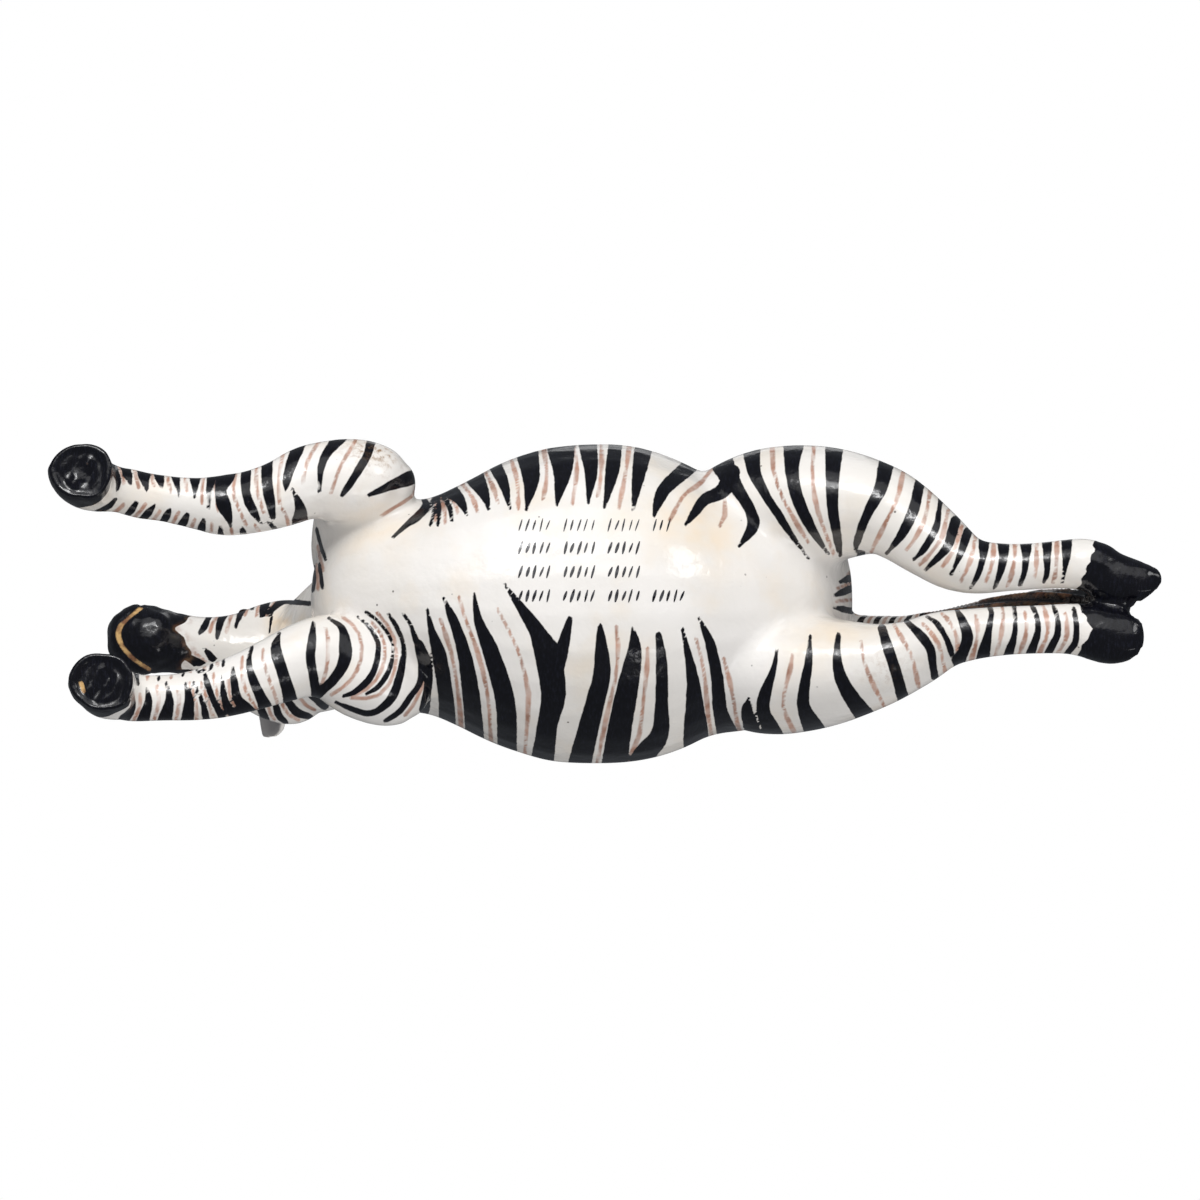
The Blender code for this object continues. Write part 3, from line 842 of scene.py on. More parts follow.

# Strokes placed straight in view: right, down and half width, in mm
CHEST = [
    [(-94.5, -25, 0.3), (-93.5, -21, 0.4), (-92.5, -17.5, 0.7), (-91.5, -14.5, 0.4)],
    [(-93.5, -13, 0.3), (-93, -9, 0.6), (-92.5, -5, 0.3)],
    [(-95.5, -12, 0.3), (-95, -8, 0.4), (-95.5, -4, 0.3)],
]
RUMP = [
    [(85.5, -13.5, 0.9), (84, -11, 0.5)],
    [(82.5, -8, 1.0), (80, -7, 0.4)],
    [(80.5, -3.5, 1.0), (78, -2.5, 0.4)],
    [(80.5, 2, 0.9), (78, 1.5, 0.3)],
]


def gaussian(centre, radius):
    """A soft patch on the skin, 1 at its centre."""
    radius = np.array(radius, float)
    return np.exp(-(((R - np.array(centre, float)) / radius) ** 2).sum(axis=1))


# The skin: the same clay as the solid, modelled finer
SOLE_AREA = 150 * MM**2  # larger than this, a sole gets rings of vertices
SOLE_RINGS = 7
skin = joined(body_parts(), "skin_form")
skin = baked(skin, "REMESH", mode="VOXEL", voxel_size=FINE_GRAIN, use_smooth_shade=True)
skin = softened(skin, SOFT_ROUNDS, 0.55, 0.12)
work = bmesh.new()
work.from_mesh(skin)
whole = work.verts[:] + work.edges[:] + work.faces[:]
floor_up = {"plane_co": (0, 0, 0), "plane_no": (0, 0, -1), "clear_outer": True}
cut = bmesh.ops.bisect_plane(work, geom=whole, dist=1e-7, **floor_up)
rim = [e for e in cut["geom_cut"] if isinstance(e, bmesh.types.BMEdge)]
soles = bmesh.ops.holes_fill(work, edges=rim, sides=0)["faces"]
soles = [face for face in soles if face.calc_area() > SOLE_AREA]
for _ in range(SOLE_RINGS):
    bmesh.ops.inset_region(work, faces=soles, thickness=MM, use_boundary=True)
bmesh.ops.triangulate(work, faces=[f for f in work.faces if len(f.verts) > 4])
bmesh.ops.recalc_face_normals(work, faces=work.faces)
work.to_mesh(skin)
work.free()
count = len(skin.vertices)
P = triples(skin.vertices, "co") / MM
low, high = P.min(axis=0), P.max(axis=0)
SHIFT = np.array([-(low[0] + high[0]) / 2, -(low[1] + high[1]) / 2, 0.0])
N = triples(skin.vertex_normals, "vector")

# Which part of the animal each point of the skin belongs to
AXES = {
    "neck": axis_of(NECK),
    "head": axis_of(HEAD),
    "lf": axis_of(FORELEG_LEFT),
    "rf": axis_of(FORELEG_RIGHT),
    "lh": axis_of(HINDLEG_LEFT),
    "rh": axis_of(HINDLEG_RIGHT),
    "tail": axis_of(TAIL),
}
WAY = {name: along(axis, P) for name, axis in AXES.items()}
R = P + SHIFT  # in mm, from under the middle of the figure's box
X, Y, Z = P.T
rows = smooth_between(TRUNK, 4)
mid_y, half_w, top, under = (np.interp(X, rows[:, 0], rows[:, k]) for k in range(1, 5))
mid_z = AXIS + (top + under) / 2
half_h = (top - under) / 2
trunk_out = np.sqrt(((Y - mid_y) / half_w) ** 2 + ((Z - mid_z) / half_h) ** 2) - 1
trunk_out = trunk_out * np.minimum(half_w, half_h)
trunk_out = np.where(X < rows[0, 0], np.maximum(trunk_out, rows[0, 0] - X), trunk_out)
trunk_out = np.where(X > rows[-1, 0], np.maximum(trunk_out, X - rows[-1, 0]), trunk_out)
faces_of = [tuple(p.vertices) for p in skin.polygons]
tree = BVHTree.FromPolygons([tuple(v) for v in R], faces_of)
view = in_view(R)
ray = R - EYE
facing = -(N * ray).sum(axis=1) / np.linalg.norm(ray, axis=1)
upper_arm = eased(18, 26, np.abs(R[:, 1])) * (1 - eased(14, 24, np.abs(R[:, 0] + 82)))
shown = eased(-0.42 + 0.3 * upper_arm, -0.2 + 0.3 * upper_arm, facing)
links = np.array([tuple(e.vertices) for e in skin.edges])
links = np.vstack([links, links[:, ::-1]])
links_at = np.bincount(links[:, 0], minlength=count)


def spread(values, rounds):
    """Values averaged with those of the neighbouring vertices."""
    for _ in range(rounds):
        total = np.bincount(links[:, 0], weights=values[links[:, 1]], minlength=count)
        values = 0.5 * values + 0.5 * total / links_at
    return values


covered = np.zeros(count)
for k in np.flatnonzero(shown > 0):
    start = Vector(R[k] + N[k] * (1 if facing[k] > 0 else 3))
    reach = tree.ray_cast(start, (Vector(EYE) - start).normalized())[3]
    covered[k] = reach is not None and reach > 5
shown = shown * (1 - eased(0.4, 0.7, spread(covered, 10)))

# The barrel
left, right = barrel_strokes(LEFT_BARREL), barrel_strokes(RIGHT_BARREL[:-1])
hips = []
for rows in (LEFT_HIND[:4], RIGHT_HIND[:4]):
    run = []
    for row in rows:
        ends = np.array([on_skin(u, v) for u, v, _ in row[:2]])
        (x, a), (lower_x, lower_a) = round_barrel(ends)
        side = math.copysign(math.pi * ROUND, a)
        top = x + 0.25 * (62 - x)
        half = min(row[0][2], 3.0)
        upper = [(top, side, 0.7 * half), ((x + top) / 2, (a + side) / 2, half)]
        run.append(brushed(upper + [(x, a, half), (lower_x, lower_a, half)]))
    hips.append(run)
shoulders = []
for side in (-1, 1):
    run = []
    for k in range(6):
        x, low = -62 - 6.6 * k, math.radians(26 + 2 * k) * ROUND * side
        upper = [(x - 5, side * math.pi * ROUND, 1.6), (x - 2, side * 2.2 * ROUND, 1.7)]
        run.append(brushed(upper + [(x - 1, side * 1.1 * ROUND, 1.6), (x, low, 0.9)]))
    shoulders.append(run)
spine = [brushed([(x, s * math.pi * ROUND, 1.7) for x in (-60, 0, 60, 84)]) for s in (-1, 1)]
chart = round_barrel(R)
runs = [left, right] + hips + shoulders
barrel_black = stroke_field(chart, [line for run in runs for line in run] + spine)
barrel_tan = np.full(count, FAR_OUT)
for run in runs:
    barrel_tan = np.minimum(barrel_tan, stroke_field(chart, lines_between(run, 0.95)))

# Everything that the photograph shows, painted as in view
LEFT_GROUPS = (LEFT_FORE, LEFT_FORE_LOW, LEFT_BARREL, LEFT_HIND, CHEST)
RIGHT_GROUPS = (RIGHT_FORE, RIGHT_FORE_HIGH, ELBOW, RIGHT_BARREL, RIGHT_HIND, RUMP)
GROUPS = LEFT_GROUPS + RIGHT_GROUPS
CLOSE = (CHEST, ELBOW)  # thin strokes that lie close together
BROAD_LINES = (LEFT_BARREL, RIGHT_BARREL, LEFT_HIND, RIGHT_HIND)
in_sight, brown_in_sight = [], []
for rows in GROUPS:
    shape = {"longer": 0.0, "broad": 0.85} if rows in CLOSE else {"longer": 3.5, "broad": 1.1}
    lines = [brushed(row, **shape) for row in rows]
    in_sight += lines
    brown_in_sight += lines_between(lines, 0.8 if rows in BROAD_LINES else 0.6)
seen_black, seen_tan = stroke_field(view, in_sight), stroke_field(view, brown_in_sight)

# The far sides of the legs: rings that meet those strokes at their roots
RINGS_CLOSEST = 5.2
RING_STEP = 6.5  # above the highest stroke that is seen
LEGS = {
    "lf": LEFT_FORE + LEFT_FORE_LOW,
    "rf": RIGHT_FORE + RIGHT_FORE_HIGH + ELBOW,
    "lh": LEFT_HIND,
    "rh": RIGHT_HIND,
}
leg_out = np.minimum.reduce([WAY[k][3] for k in LEGS])
leg_black, leg_tan, leg_s = np.full(count, FAR_OUT), np.full(count, FAR_OUT), np.zeros(count)
for key, strokes in LEGS.items():
    near = np.flatnonzero(WAY[key][3] <= leg_out + 0.01)
    ends = [row[0] for row in strokes]
    roots = np.array([on_skin(u, v) for u, v, _ in ends]) - SHIFT
    rings = []
    for s, w in sorted(zip(along(AXES[key], roots)[0], (w for _, _, w in ends))):
        if not rings or s - rings[-1][0] > RINGS_CLOSEST:
            rings.append((s, min(max(w, 1.1), 2.2)))
    while rings[0][0] > 2:
        rings.insert(0, (rings[0][0] - RING_STEP, 1.7))
    s = WAY[key][0][near]
    leg_s[near] = s
    leg_black[near] = np.min([np.abs(s - at) - w for at, w in rings], axis=0)
    pairs = zip(rings[:-1], rings[1:])
    leg_tan[near] = np.min([np.abs(s - (one[0] + other[0]) / 2) - 0.7 for one, other in pairs], axis=0)

# The neck: rings that run out towards the throat
neck_s, neck_a, neck_b, neck_out = WAY["neck"]
neck_turn = np.arctan2(neck_a, neck_b)
NECK_ROUND = 21  # mm of chart for one radian round the neck
neck_rings = []
for side in (-1, 1):
    run = []
    for k, s in enumerate(np.arange(5, 92, 8.0)):
        tip = 0.5 + 0.18 * math.sin(k * 2.4 + side)
        ring = [(s - 1, 3.14, 2.3), (s, 2.3, 2.5), (s + 0.6, 1.4, 2.2), (s + 3, tip, 0.4)]
        run.append(curled(ring, side * NECK_ROUND))
    neck_rings.append(run)
neck_chart = np.stack([neck_s, neck_turn * NECK_ROUND], axis=1)
neck_black = stroke_field(neck_chart, neck_rings[0] + neck_rings[1])
neck_tan = stroke_field(neck_chart, lines_between(neck_rings[0], 0.75) + lines_between(neck_rings[1], 0.75))

# The mane: bars across the crest, also where it runs on over the head
mane_rows = smooth_between(MANE, 5)[::-1]
mane_y = np.interp(X, mane_rows[:, 0], mane_rows[:, 1])
mane_z = np.interp(X, mane_rows[:, 0], mane_rows[:, 2]) + AXIS
crest = (np.abs(Y - mane_y) < 4.5) & (Z > mane_z - 9) & (X > -121) & (X < -52)
crest_s = np.where(X > -97, neck_s, 88 + 1.1 * (-97 - X))
crest_black = np.abs((crest_s - 1) % 8 - 4) - 2.2

# The head: cheek strokes, and long lines over the brow and nose
head_s, head_a, head_b, head_out = WAY["head"]
head_turn = np.arctan2(head_a, head_b)
HEAD_ROUND = 15  # mm of chart for one radian round the head
CHEEKS = ((4, 0.55), (10, 0.7), (16, 0.62), (21.5, 0.8), (27, 0.7), (32.5, 0.9), (38, 0.85))
head_chart = np.stack([head_s, head_turn * HEAD_ROUND], axis=1)
head_strokes, head_lines = [], []
for side in (-1, 1):
    cheek = []
    for s, low in CHEEKS:
        marks = [(s - 2.4, 1.9, 1.2), (s + 1.2, 1.2, 1.3), (s + 4.4, low, 0.4)]
        cheek.append(curled(marks, side * HEAD_ROUND))
    head_strokes += cheek
    head_lines += lines_between(cheek, 0.6)
    for k, turned in enumerate((2.18, 2.5, 2.84)):
        marks = [(9 + 2 * k, turned, 0.7), (26, turned + 0.02, 1.0), (46, 2.5 + 0.22 * k, 0.7)]
        head_strokes.append(curled(marks, side * HEAD_ROUND))
head_black = stroke_field(head_chart, head_strokes)
head_tan = stroke_field(head_chart, head_lines)
chin_marks = [brushed(row, longer=2.0) for row in CHIN]
chin_black = stroke_field(view, chin_marks)
chin_tan = stroke_field(view, lines_between(chin_marks[:6], 0.6) + lines_between(chin_marks[6:], 0.6))
head_black = head_black * (1 - shown) + chin_black * shown
head_tan = head_tan * (1 - shown) + chin_tan * shown
neck_black = neck_black * (1 - shown) + chin_black * shown
neck_tan = neck_tan * (1 - shown) + chin_tan * shown
muzzle = X + 147 + 2.2 * np.sin(Y * 0.42 + 1) + 0.7 * np.sin(Y * 1.1) - 4 * (1 - shown)

# The tail: striped dock, then a dark tuft
tail_s, tail_a, tail_b, tail_out = WAY["tail"]
DOCK_STEP = 6.4
between = np.abs((tail_s / DOCK_STEP) % 1 - 0.5) * DOCK_STEP
dock = between - 1.2
dock_tan = 0.5 * DOCK_STEP - 0.7 - between
tuft = 46 - tail_s
tail_black = np.minimum(dock, tuft)

# Each part's paint where that part is outermost
high_up = Z - AXIS
leg_top = np.interp(R[:, 0], (-104, -90, -80, 0), (60, 40, 34, 52))
own_leg = eased(-1.2, 1.2, trunk_out - leg_out) * (1 - eased(0, 9, R[:, 2] - leg_top))
own_leg = own_leg * eased(0.5, 3.5, leg_s)
own_neck = eased(-1.0, 1.0, np.minimum(trunk_out, 30) - neck_out) * eased(8, 14, high_up)
own_head = eased(-1.0, 1.0, neck_out - head_out) * eased(26, 30, high_up) * (X < -98)
own_tail = eased(-0.6, 0.6, np.minimum(trunk_out, leg_out) - tail_out) * eased(72, 76, X)
black, tan = barrel_black, barrel_tan
for own, its_black, its_tan in (
    (own_leg, leg_black, leg_tan),
    (shown, seen_black, seen_tan),
    (own_neck, neck_black, neck_tan),
    (own_head, head_black, head_tan),
    (own_tail, tail_black, np.where(tuft > 0, dock_tan, 5.0)),
):
    black = black * (1 - own) + its_black * own
    tan = tan * (1 - own) + its_tan * own

black = np.where(crest & (own_neck + own_head > 0.5), crest_black, black)
tan = np.where(crest, 5.0, tan)
for own in (shown, own_leg, own_neck, own_head):
    seam = eased(0.0, 0.1, own) * eased(0.0, 0.1, 1 - own)
    black = black * (1 - seam) + spread(black, 2) * seam
    tan = tan * (1 - seam) + spread(tan, 1) * seam
EYE_X, EYE_SIDE, EYE_UP = -128.6, 7.6, 67.4
lids = np.hypot((X - EYE_X) / 1.5, Z - AXIS - EYE_UP) - 2.5
black = np.where(own_head * (1 - shown) > 0.5, np.minimum(black, lids), black)


# Hooves
def coronet(sole_x, sole_y):
    """How far each point is above a fore hoof's black."""
    near = np.hypot(X - sole_x, Y - sole_y)
    line = Z - (9.0 - 0.62 * (X - sole_x)) + 0.5 * np.sin(Y * 1.3)
    return np.where(near < 17, line, FAR_OUT)


hoof = np.minimum(coronet(*HOOF_LEFT), coronet(*HOOF_RIGHT))
HIND_CORONETS = ((-17.5, -5.7, -2, 2.7, 9.3, 16), (164.6, 159.8, 157.5, 160.8, 164.2, 159.6))
coronets = np.interp(view[:, 1], *HIND_CORONETS)
hind_hoof = coronets - view[:, 0] + 0.4 * np.sin(view[:, 1] * 1.7)
hoof = np.where(view[:, 0] > 140, np.minimum(hoof, hind_hoof), hoof)
black = np.minimum(black, hoof)
black = np.minimum(black, np.where(own_head > 0.5, muzzle, FAR_OUT))

# Mouth line round the chin, as in view
MOUTH_RIGHT = [(-153, 1.5, 0.2), (-158, 5.5, 0.4), (-160.5, 9, 0.7), (-160, 13, 0.6)]
MOUTH_LEFT = [(-157.5, 17, 0.5), (-154, 20, 0.5), (-150, 22.5, 0.4)]
TOE_CHIP = [(-173.4, 26.6, 0.8), (-173, 29.8, 0.8)]
mouth = np.where(own_head > 0.5, stroke_field(view, [brushed(MOUTH_RIGHT + MOUTH_LEFT)]), FAR_OUT)
bare = np.minimum(mouth, stroke_field(view, [np.array(TOE_CHIP)]))

# Ears: their hollow side, turned forward and down, painted grey as painted shade
ear_right = (high_up > 79) & (Y > 19) & (X < -106)
ear_left = (high_up > 81) & (Y < 0.5) & (X < -106)
ears = ear_right | ear_left
inward = N @ (np.array((-0.75, 0.0, -0.5)) / 0.9)
ear_shade = np.where(ears, 0.45 - inward, FAR_OUT)
black = np.where(ears, np.maximum(black, 2.0), black)

# Dirt, rubs and warm tints
dirt = 1.5 * gaussian((-74, -44, 30), (8, 7, 10))
dirt += 0.7 * gaussian((-84, 15, 31), (4, 6, 5))
dirt += 0.5 * gaussian((90, 27, 22), (7, 6, 6))
dirt += 0.8 * gaussian((-166, 30, 8), (6, 5, 5))
peach = 0.8 * gaussian((32, -18, 20), (16, 14, 12))
peach += 0.5 * gaussian((-70, -20, 25), (14, 12, 12))
peach += 0.6 * gaussian((-106, -4, 112), (10, 14, 10))
peach += 0.5 * gaussian((70, 18, 28), (14, 10, 10))
rust = np.where(own_head > 0.5, np.clip(1 - np.abs(muzzle - 1.0) / 2.6, 0, 1), 0)
strand = np.sin(np.arctan2(tail_a, tail_b) * 9 + 0.16 * tail_s)
rust = np.clip(rust + own_tail * eased(0, -4, tuft) * (hoof > 1) * eased(-0.6, 0.9, strand), 0, 1)

blush = np.exp(-((view[:, 0] + 104) / 4.5) ** 2 - ((view[:, 1] - 6) / 2.8) ** 2)
peach += 1.5 * (blush * np.clip(own_neck + own_head, 0, 1))

# Fore hooves: middle of the sole, then how far the wall bulges at some angles round it
HOOF_OUTLINES = (
    ((-163.1, -31.3), (0, 53, 90, 155, 187, 270, 320), (1.0, 1.06, 0.86, 0.9, 1.02, 0.93, 1.03)),
    ((-154.9, 35.5), (19, 36, 70, 135, 195, 243, 277, 315), (1.03, 1.1, 0.93, 0.82, 1.0, 1.04, 0.98, 1.08)),
)

# Modelled relief
move = np.zeros(count)
move -= 0.6 * np.clip(1 - mouth / 0.8, 0, 1) * (own_head > 0.5)
strands = own_tail * eased(36, 48, tail_s)
move += 0.55 * strands * strand
for side in (-1, 1):
    nostril = (P - np.array((-158.5, 8.0 + 5.5 * side, AXIS + 57.5))) / np.array((3.2, 3.0, 2.2))
    move -= 1.3 * np.exp(-(nostril**2).sum(axis=1)) * (own_head > 0.5)
chin = (own_head > 0.5) * eased(0, -3, muzzle)
for k in range(count):
    x, y, z = P[k]
    uneven = noise.noise((x * 0.045, y * 0.045, z * 0.045))
    move[k] += 0.35 * uneven
    if chin[k] > 0:
        move[k] += 0.4 * chin[k] * noise.noise((x * 0.28, y * 0.28, z * 0.28))
flat = eased(0.05, 3.0, R[:, 2])
moved = R + N * (move * flat)[:, None]
ear_root, ear_tip = np.array(RIGHT_EAR_ROOT) + (0, 0, AXIS), np.array(RIGHT_EAR_TIP) + (0, 0, AXIS)
ear_way = (ear_tip - ear_root) / np.linalg.norm(ear_tip - ear_root)
up_ear = (P - ear_root) @ ear_way
near_ear = np.linalg.norm(P - ear_root - up_ear[:, None] * ear_way, axis=1) < 11
shorter = np.where(near_ear & ear_right, np.maximum(up_ear - 11, 0) * 0.4, 0)
moved -= ear_way * shorter[:, None]
moved[:, 2] = np.maximum(moved[:, 2], 0)
for (x, y), _, _ in HOOF_OUTLINES:
    off = np.hypot(R[:, 0] - x, R[:, 1] - y) / 8.4
    groove = 0.7 * np.exp(-(((off - 0.82) / 0.07) ** 2))
    uneven = 0.6 * np.sin(R[:, 0] * 0.8 + R[:, 1] * 0.5) * (1 - off**2)
    dished = groove + 0.9 * (1 - off**2) + uneven
    moved[:, 2] += np.where((off < 1) & (R[:, 2] < 0.05), np.maximum(dished, 0), 0)
for (x, y), angles, ratios in HOOF_OUTLINES:
    off = moved[:, :2] - (x, y)
    ratio = np.interp(np.degrees(np.arctan2(off[:, 1], off[:, 0])), angles, ratios, period=360)
    held = eased(14, 5, R[:, 2]) * (np.hypot(off[:, 0], off[:, 1]) < 15)
    moved[:, :2] += off * ((ratio - 1) * held)[:, None]
narrow = eased(158, 174, R[:, 0]) * (R[:, 1] < 11) * (R[:, 2] < 40)
moved[:, 1] += narrow * 0.3 * (3.5 - moved[:, 1])
skin.vertices.foreach_set("co", (moved * MM).ravel())
skin.update()

fields = {"paint_black": black, "paint_tan": tan, "paint_gold": bare, "painted_ear_shade": ear_shade}
fields.update({"dirt": dirt, "peach": peach, "rust": rust})
for name, values in fields.items():
    layer = skin.attributes.new(name, "FLOAT", "POINT")
    layer.data.foreach_set("value", np.clip(values, -6, 6).astype(np.float32))


# Materials
class Nodes:
    """Small helper that adds shader nodes and joins them."""

    def __init__(self, name):
        self.material = bpy.data.materials.new(name)
        self.material.use_nodes = True
        self.tree = self.material.node_tree
        self.shader = self.tree.nodes["Principled BSDF"]

    def add(self, kind, inputs=None, **settings):
        node = self.tree.nodes.new(kind)
        for key, value in settings.items():
            setattr(node, key, value)
        for key, value in (inputs or {}).items():
            if isinstance(value, bpy.types.NodeSocket):
                self.tree.links.new(value, node.inputs[key])
            else:
                node.inputs[key].default_value = value
        return node

    def field(self, name):
        return self.add("ShaderNodeAttribute", attribute_name=name).outputs["Fac"]

    def math(self, operation, *values):
        node = self.add("ShaderNodeMath", operation=operation)
        for k, value in enumerate(values):
            if isinstance(value, bpy.types.NodeSocket):
                self.tree.links.new(value, node.inputs[k])
            else:
                node.inputs[k].default_value = value
        return node.outputs[0]

    def ramp(self, value, low, high, start=0.0, end=1.0):
        span = {"Value": value, "From Min": low, "From Max": high, "To Min": start, "To Max": end}
        return self.add("ShaderNodeMapRange", span, clamp=True).outputs["Result"]

    def mix(self, factor, one, other):
        node = self.add("ShaderNodeMix", data_type="RGBA")
        for key, value in (("Factor", factor), ("A", one), ("B", other)):
            socket = [s for s in node.inputs if s.name == key and s.enabled][0]
            if isinstance(value, bpy.types.NodeSocket):
                self.tree.links.new(value, socket)
            else:
                socket.default_value = value
        return [s for s in node.outputs if s.enabled][0]

    def noise(self, where, scale, detail=2.0, rough=0.5):
        grain = {"Vector": where, "Scale": scale, "Detail": detail, "Roughness": rough}
        return self.add("ShaderNodeTexNoise", grain).outputs["Fac"]

    def ramped_noise(self, where, scale, detail, *ends):
        return self.ramp(self.noise(where, scale, detail), *ends)

    def feed(self, socket, value):
        self.tree.links.new(value, self.shader.inputs[socket])

    def times(self, one, other):
        return self.math("MULTIPLY", one, other)


def colour(red, green, blue):
    """A display colour, 0 to 255, as the shader's own."""
    shares = [c / 255 for c in (red, green, blue)]
    return tuple(((c + 0.055) / 1.055) ** 2.4 if c > 10 / 255 else c / 12.92 for c in shares) + (1.0,)


IVORY, SHADED_IVORY = colour(235, 232, 229), colour(226, 222, 216)
WARM_IVORY, PEACH, OLD_IVORY = colour(232, 212, 184), colour(238, 206, 158), colour(205, 196, 184)
TAN, DARK_TAN = colour(192, 148, 128), colour(152, 108, 88)
# Greys of the painted shade in the ears' hollows
EAR_SHADE_GREY, DEEP_EAR_SHADE_GREY = colour(158, 156, 156), colour(118, 116, 118)
BLACK, THIN_BLACK = colour(10, 10, 16), colour(34, 36, 50)
RUST, RUST_HALO = colour(104, 80, 58), colour(150, 92, 60)
BARE_CLAY, GOLD = colour(128, 90, 64), colour(206, 168, 112)
SOIL, PEPPER = colour(142, 108, 72), colour(60, 50, 46)
EYE_BLACK, EYE_BROWN = colour(12, 10, 10), colour(42, 24, 16)
INK, FAINT_INK = colour(24, 24, 30), colour(84, 84, 88)

# Glaze over ivory, brown lines, black strokes, dirt and the painted shade in the ears' hollows
glazed = Nodes("ivory_glaze")
where = glazed.add("ShaderNodeTexCoord").outputs["Object"]
wobble = glazed.times(glazed.math("SUBTRACT", glazed.noise(where, 300, 3), 0.5), 0.55)
blotch = glazed.noise(where, 28, 3)
fine = glazed.noise(where, 1500, 3, 0.6)
stretch = glazed.add("ShaderNodeMapping", {"Vector": where, "Scale": (2.2, 0.5, 0.5)}).outputs[0]
bristle = glazed.noise(stretch, 900, 2)
ivory = glazed.mix(glazed.ramp(blotch, 0.35, 0.7), IVORY, SHADED_IVORY)
warm = glazed.times(glazed.ramped_noise(where, 60, 4, 0.52, 0.78), 0.35)
ivory = glazed.mix(warm, ivory, WARM_IVORY)
peachy = glazed.times(glazed.field("peach"), glazed.ramped_noise(where, 90, 2, 0.3, 0.75, 0.0, 0.8))
ivory = glazed.mix(peachy, ivory, PEACH)
ivory = glazed.mix(glazed.ramp(fine, 0.66, 0.8, 0.0, 0.25), ivory, OLD_IVORY)
tan_edge = glazed.math("ADD", glazed.field("paint_tan"), glazed.times(wobble, 0.7))
tan_thickness = glazed.ramped_noise(where, 240, 2, 0.3, 0.62, 0.6, 0.95)
tan_cover = glazed.times(glazed.ramp(tan_edge, 0.22, -0.22), tan_thickness)
tan_colour = glazed.mix(glazed.ramped_noise(where, 130, 2, 0.35, 0.65), TAN, DARK_TAN)
paint = glazed.mix(tan_cover, ivory, tan_colour)
# Painted shade: grey over the side of the ears turned forward and down
ear_shade_colour = glazed.mix(glazed.ramp(blotch, 0.4, 0.6), EAR_SHADE_GREY, DEEP_EAR_SHADE_GREY)
paint = glazed.mix(glazed.ramp(glazed.field("painted_ear_shade"), 0.25, -0.25), paint, ear_shade_colour)
black_colour = glazed.mix(glazed.ramp(bristle, 0.5, 0.8, 0.0, 0.5), BLACK, THIN_BLACK)
rusty = glazed.times(glazed.field("rust"), glazed.ramped_noise(where, 330, 3, 0.38, 0.62))
black_colour = glazed.mix(rusty, black_colour, RUST)
black_edge = glazed.math("ADD", glazed.field("paint_black"), wobble)
paint = glazed.mix(glazed.ramp(black_edge, 0.14, -0.14), paint, black_colour)
halo = glazed.times(glazed.field("rust"), glazed.ramped_noise(where, 300, 2, 0.45, 0.7, 0.0, 0.55))
paint = glazed.mix(halo, paint, RUST_HALO)
gold = glazed.math("ADD", glazed.field("paint_gold"), glazed.times(wobble, 0.6))
gold_colour = glazed.mix(glazed.ramped_noise(where, 260, 2, 0.4, 0.62), BARE_CLAY, GOLD)
paint = glazed.mix(glazed.ramp(gold, 0.2, -0.2), paint, gold_colour)
soil = glazed.times(glazed.field("dirt"), glazed.ramp(glazed.noise(where, 520, 4, 0.7), 0.48, 0.66))
soil = glazed.times(soil, glazed.ramp(black_edge, -0.1, 0.5, 0.2, 1.0))
paint = glazed.mix(glazed.times(soil, 0.85), paint, SOIL)
specks = glazed.add("ShaderNodeTexVoronoi", {"Vector": where, "Scale": 210.0}).outputs["Distance"]
pepper = glazed.times(glazed.ramp(specks, 0.1, 0.06), glazed.ramped_noise(where, 75, 1, 0.6, 0.64))
paint = glazed.mix(glazed.times(pepper, 0.8), paint, PEPPER)
glazed.feed("Base Color", paint)
rough = glazed.ramped_noise(where, 160, 3, 0.3, 0.7, 0.13, 0.26)
glazed.feed("Roughness", glazed.math("ADD", rough, glazed.times(soil, 0.4)))
glazed.shader.inputs["IOR"].default_value = 1.5
glazed.shader.inputs["Coat Weight"].default_value = 0.35
glazed.shader.inputs["Coat Roughness"].default_value = 0.05
dimples = glazed.times(glazed.noise(where, 1100, 2), 0.12)
swell = glazed.math("ADD", glazed.noise(where, 170, 2), dimples)
lumpy = glazed.add("ShaderNodeBump", {"Height": swell, "Strength": 0.5, "Distance": 0.0007})
glazed.feed("Normal", lumpy.outputs[0])
glazed.feed("Coat Normal", lumpy.outputs[0])

skin.materials.clear()
skin.materials.append(glazed.material)
zebra_skin = bpy.data.objects.new("zebra_skin", skin)
bpy.context.scene.collection.objects.link(zebra_skin)
for polygon in skin.polygons:
    polygon.use_smooth = True
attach(zebra_skin, "root")
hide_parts("zebra")

# Eyes
wet = Nodes("eye_glaze")
spot = wet.add("ShaderNodeTexCoord").outputs["Object"]
wet.feed("Base Color", wet.mix(wet.ramped_noise(spot, 500, 2, 0.4, 0.7), EYE_BLACK, EYE_BROWN))
wet.shader.inputs["Roughness"].default_value = 0.05
tree = BVHTree.FromPolygons([tuple(v) for v in moved], faces_of)
for name, side in (("eye_right", 1), ("eye_left", -1)):
    start = Vector((EYE_X + SHIFT[0], EYE_SIDE + SHIFT[1] + side * 40, AXIS + EYE_UP))
    spot, normal, _, _ = tree.ray_cast(start, Vector((0, -side, 0)))
    mesh = bpy.data.meshes.new(name)
    work = bmesh.new()
    bmesh.ops.create_uvsphere(work, u_segments=32, v_segments=20, radius=1)
    for v in work.verts:
        v.co = Vector((v.co.x * 3.0, v.co.y * 1.9, v.co.z * 2.1))
    work.to_mesh(mesh)
    work.free()
    for polygon in mesh.polygons:
        polygon.use_smooth = True
    mesh.materials.append(wet.material)
    eye = bpy.data.objects.new(name, mesh)
    bpy.context.scene.collection.objects.link(eye)
    eye.scale = (MM, MM, MM)
    eye.rotation_euler = (0, math.radians(-24), -side * math.radians(14))
    eye.location = (spot - normal * 0.5) * MM
    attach(eye, "root")
    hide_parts("zebra")

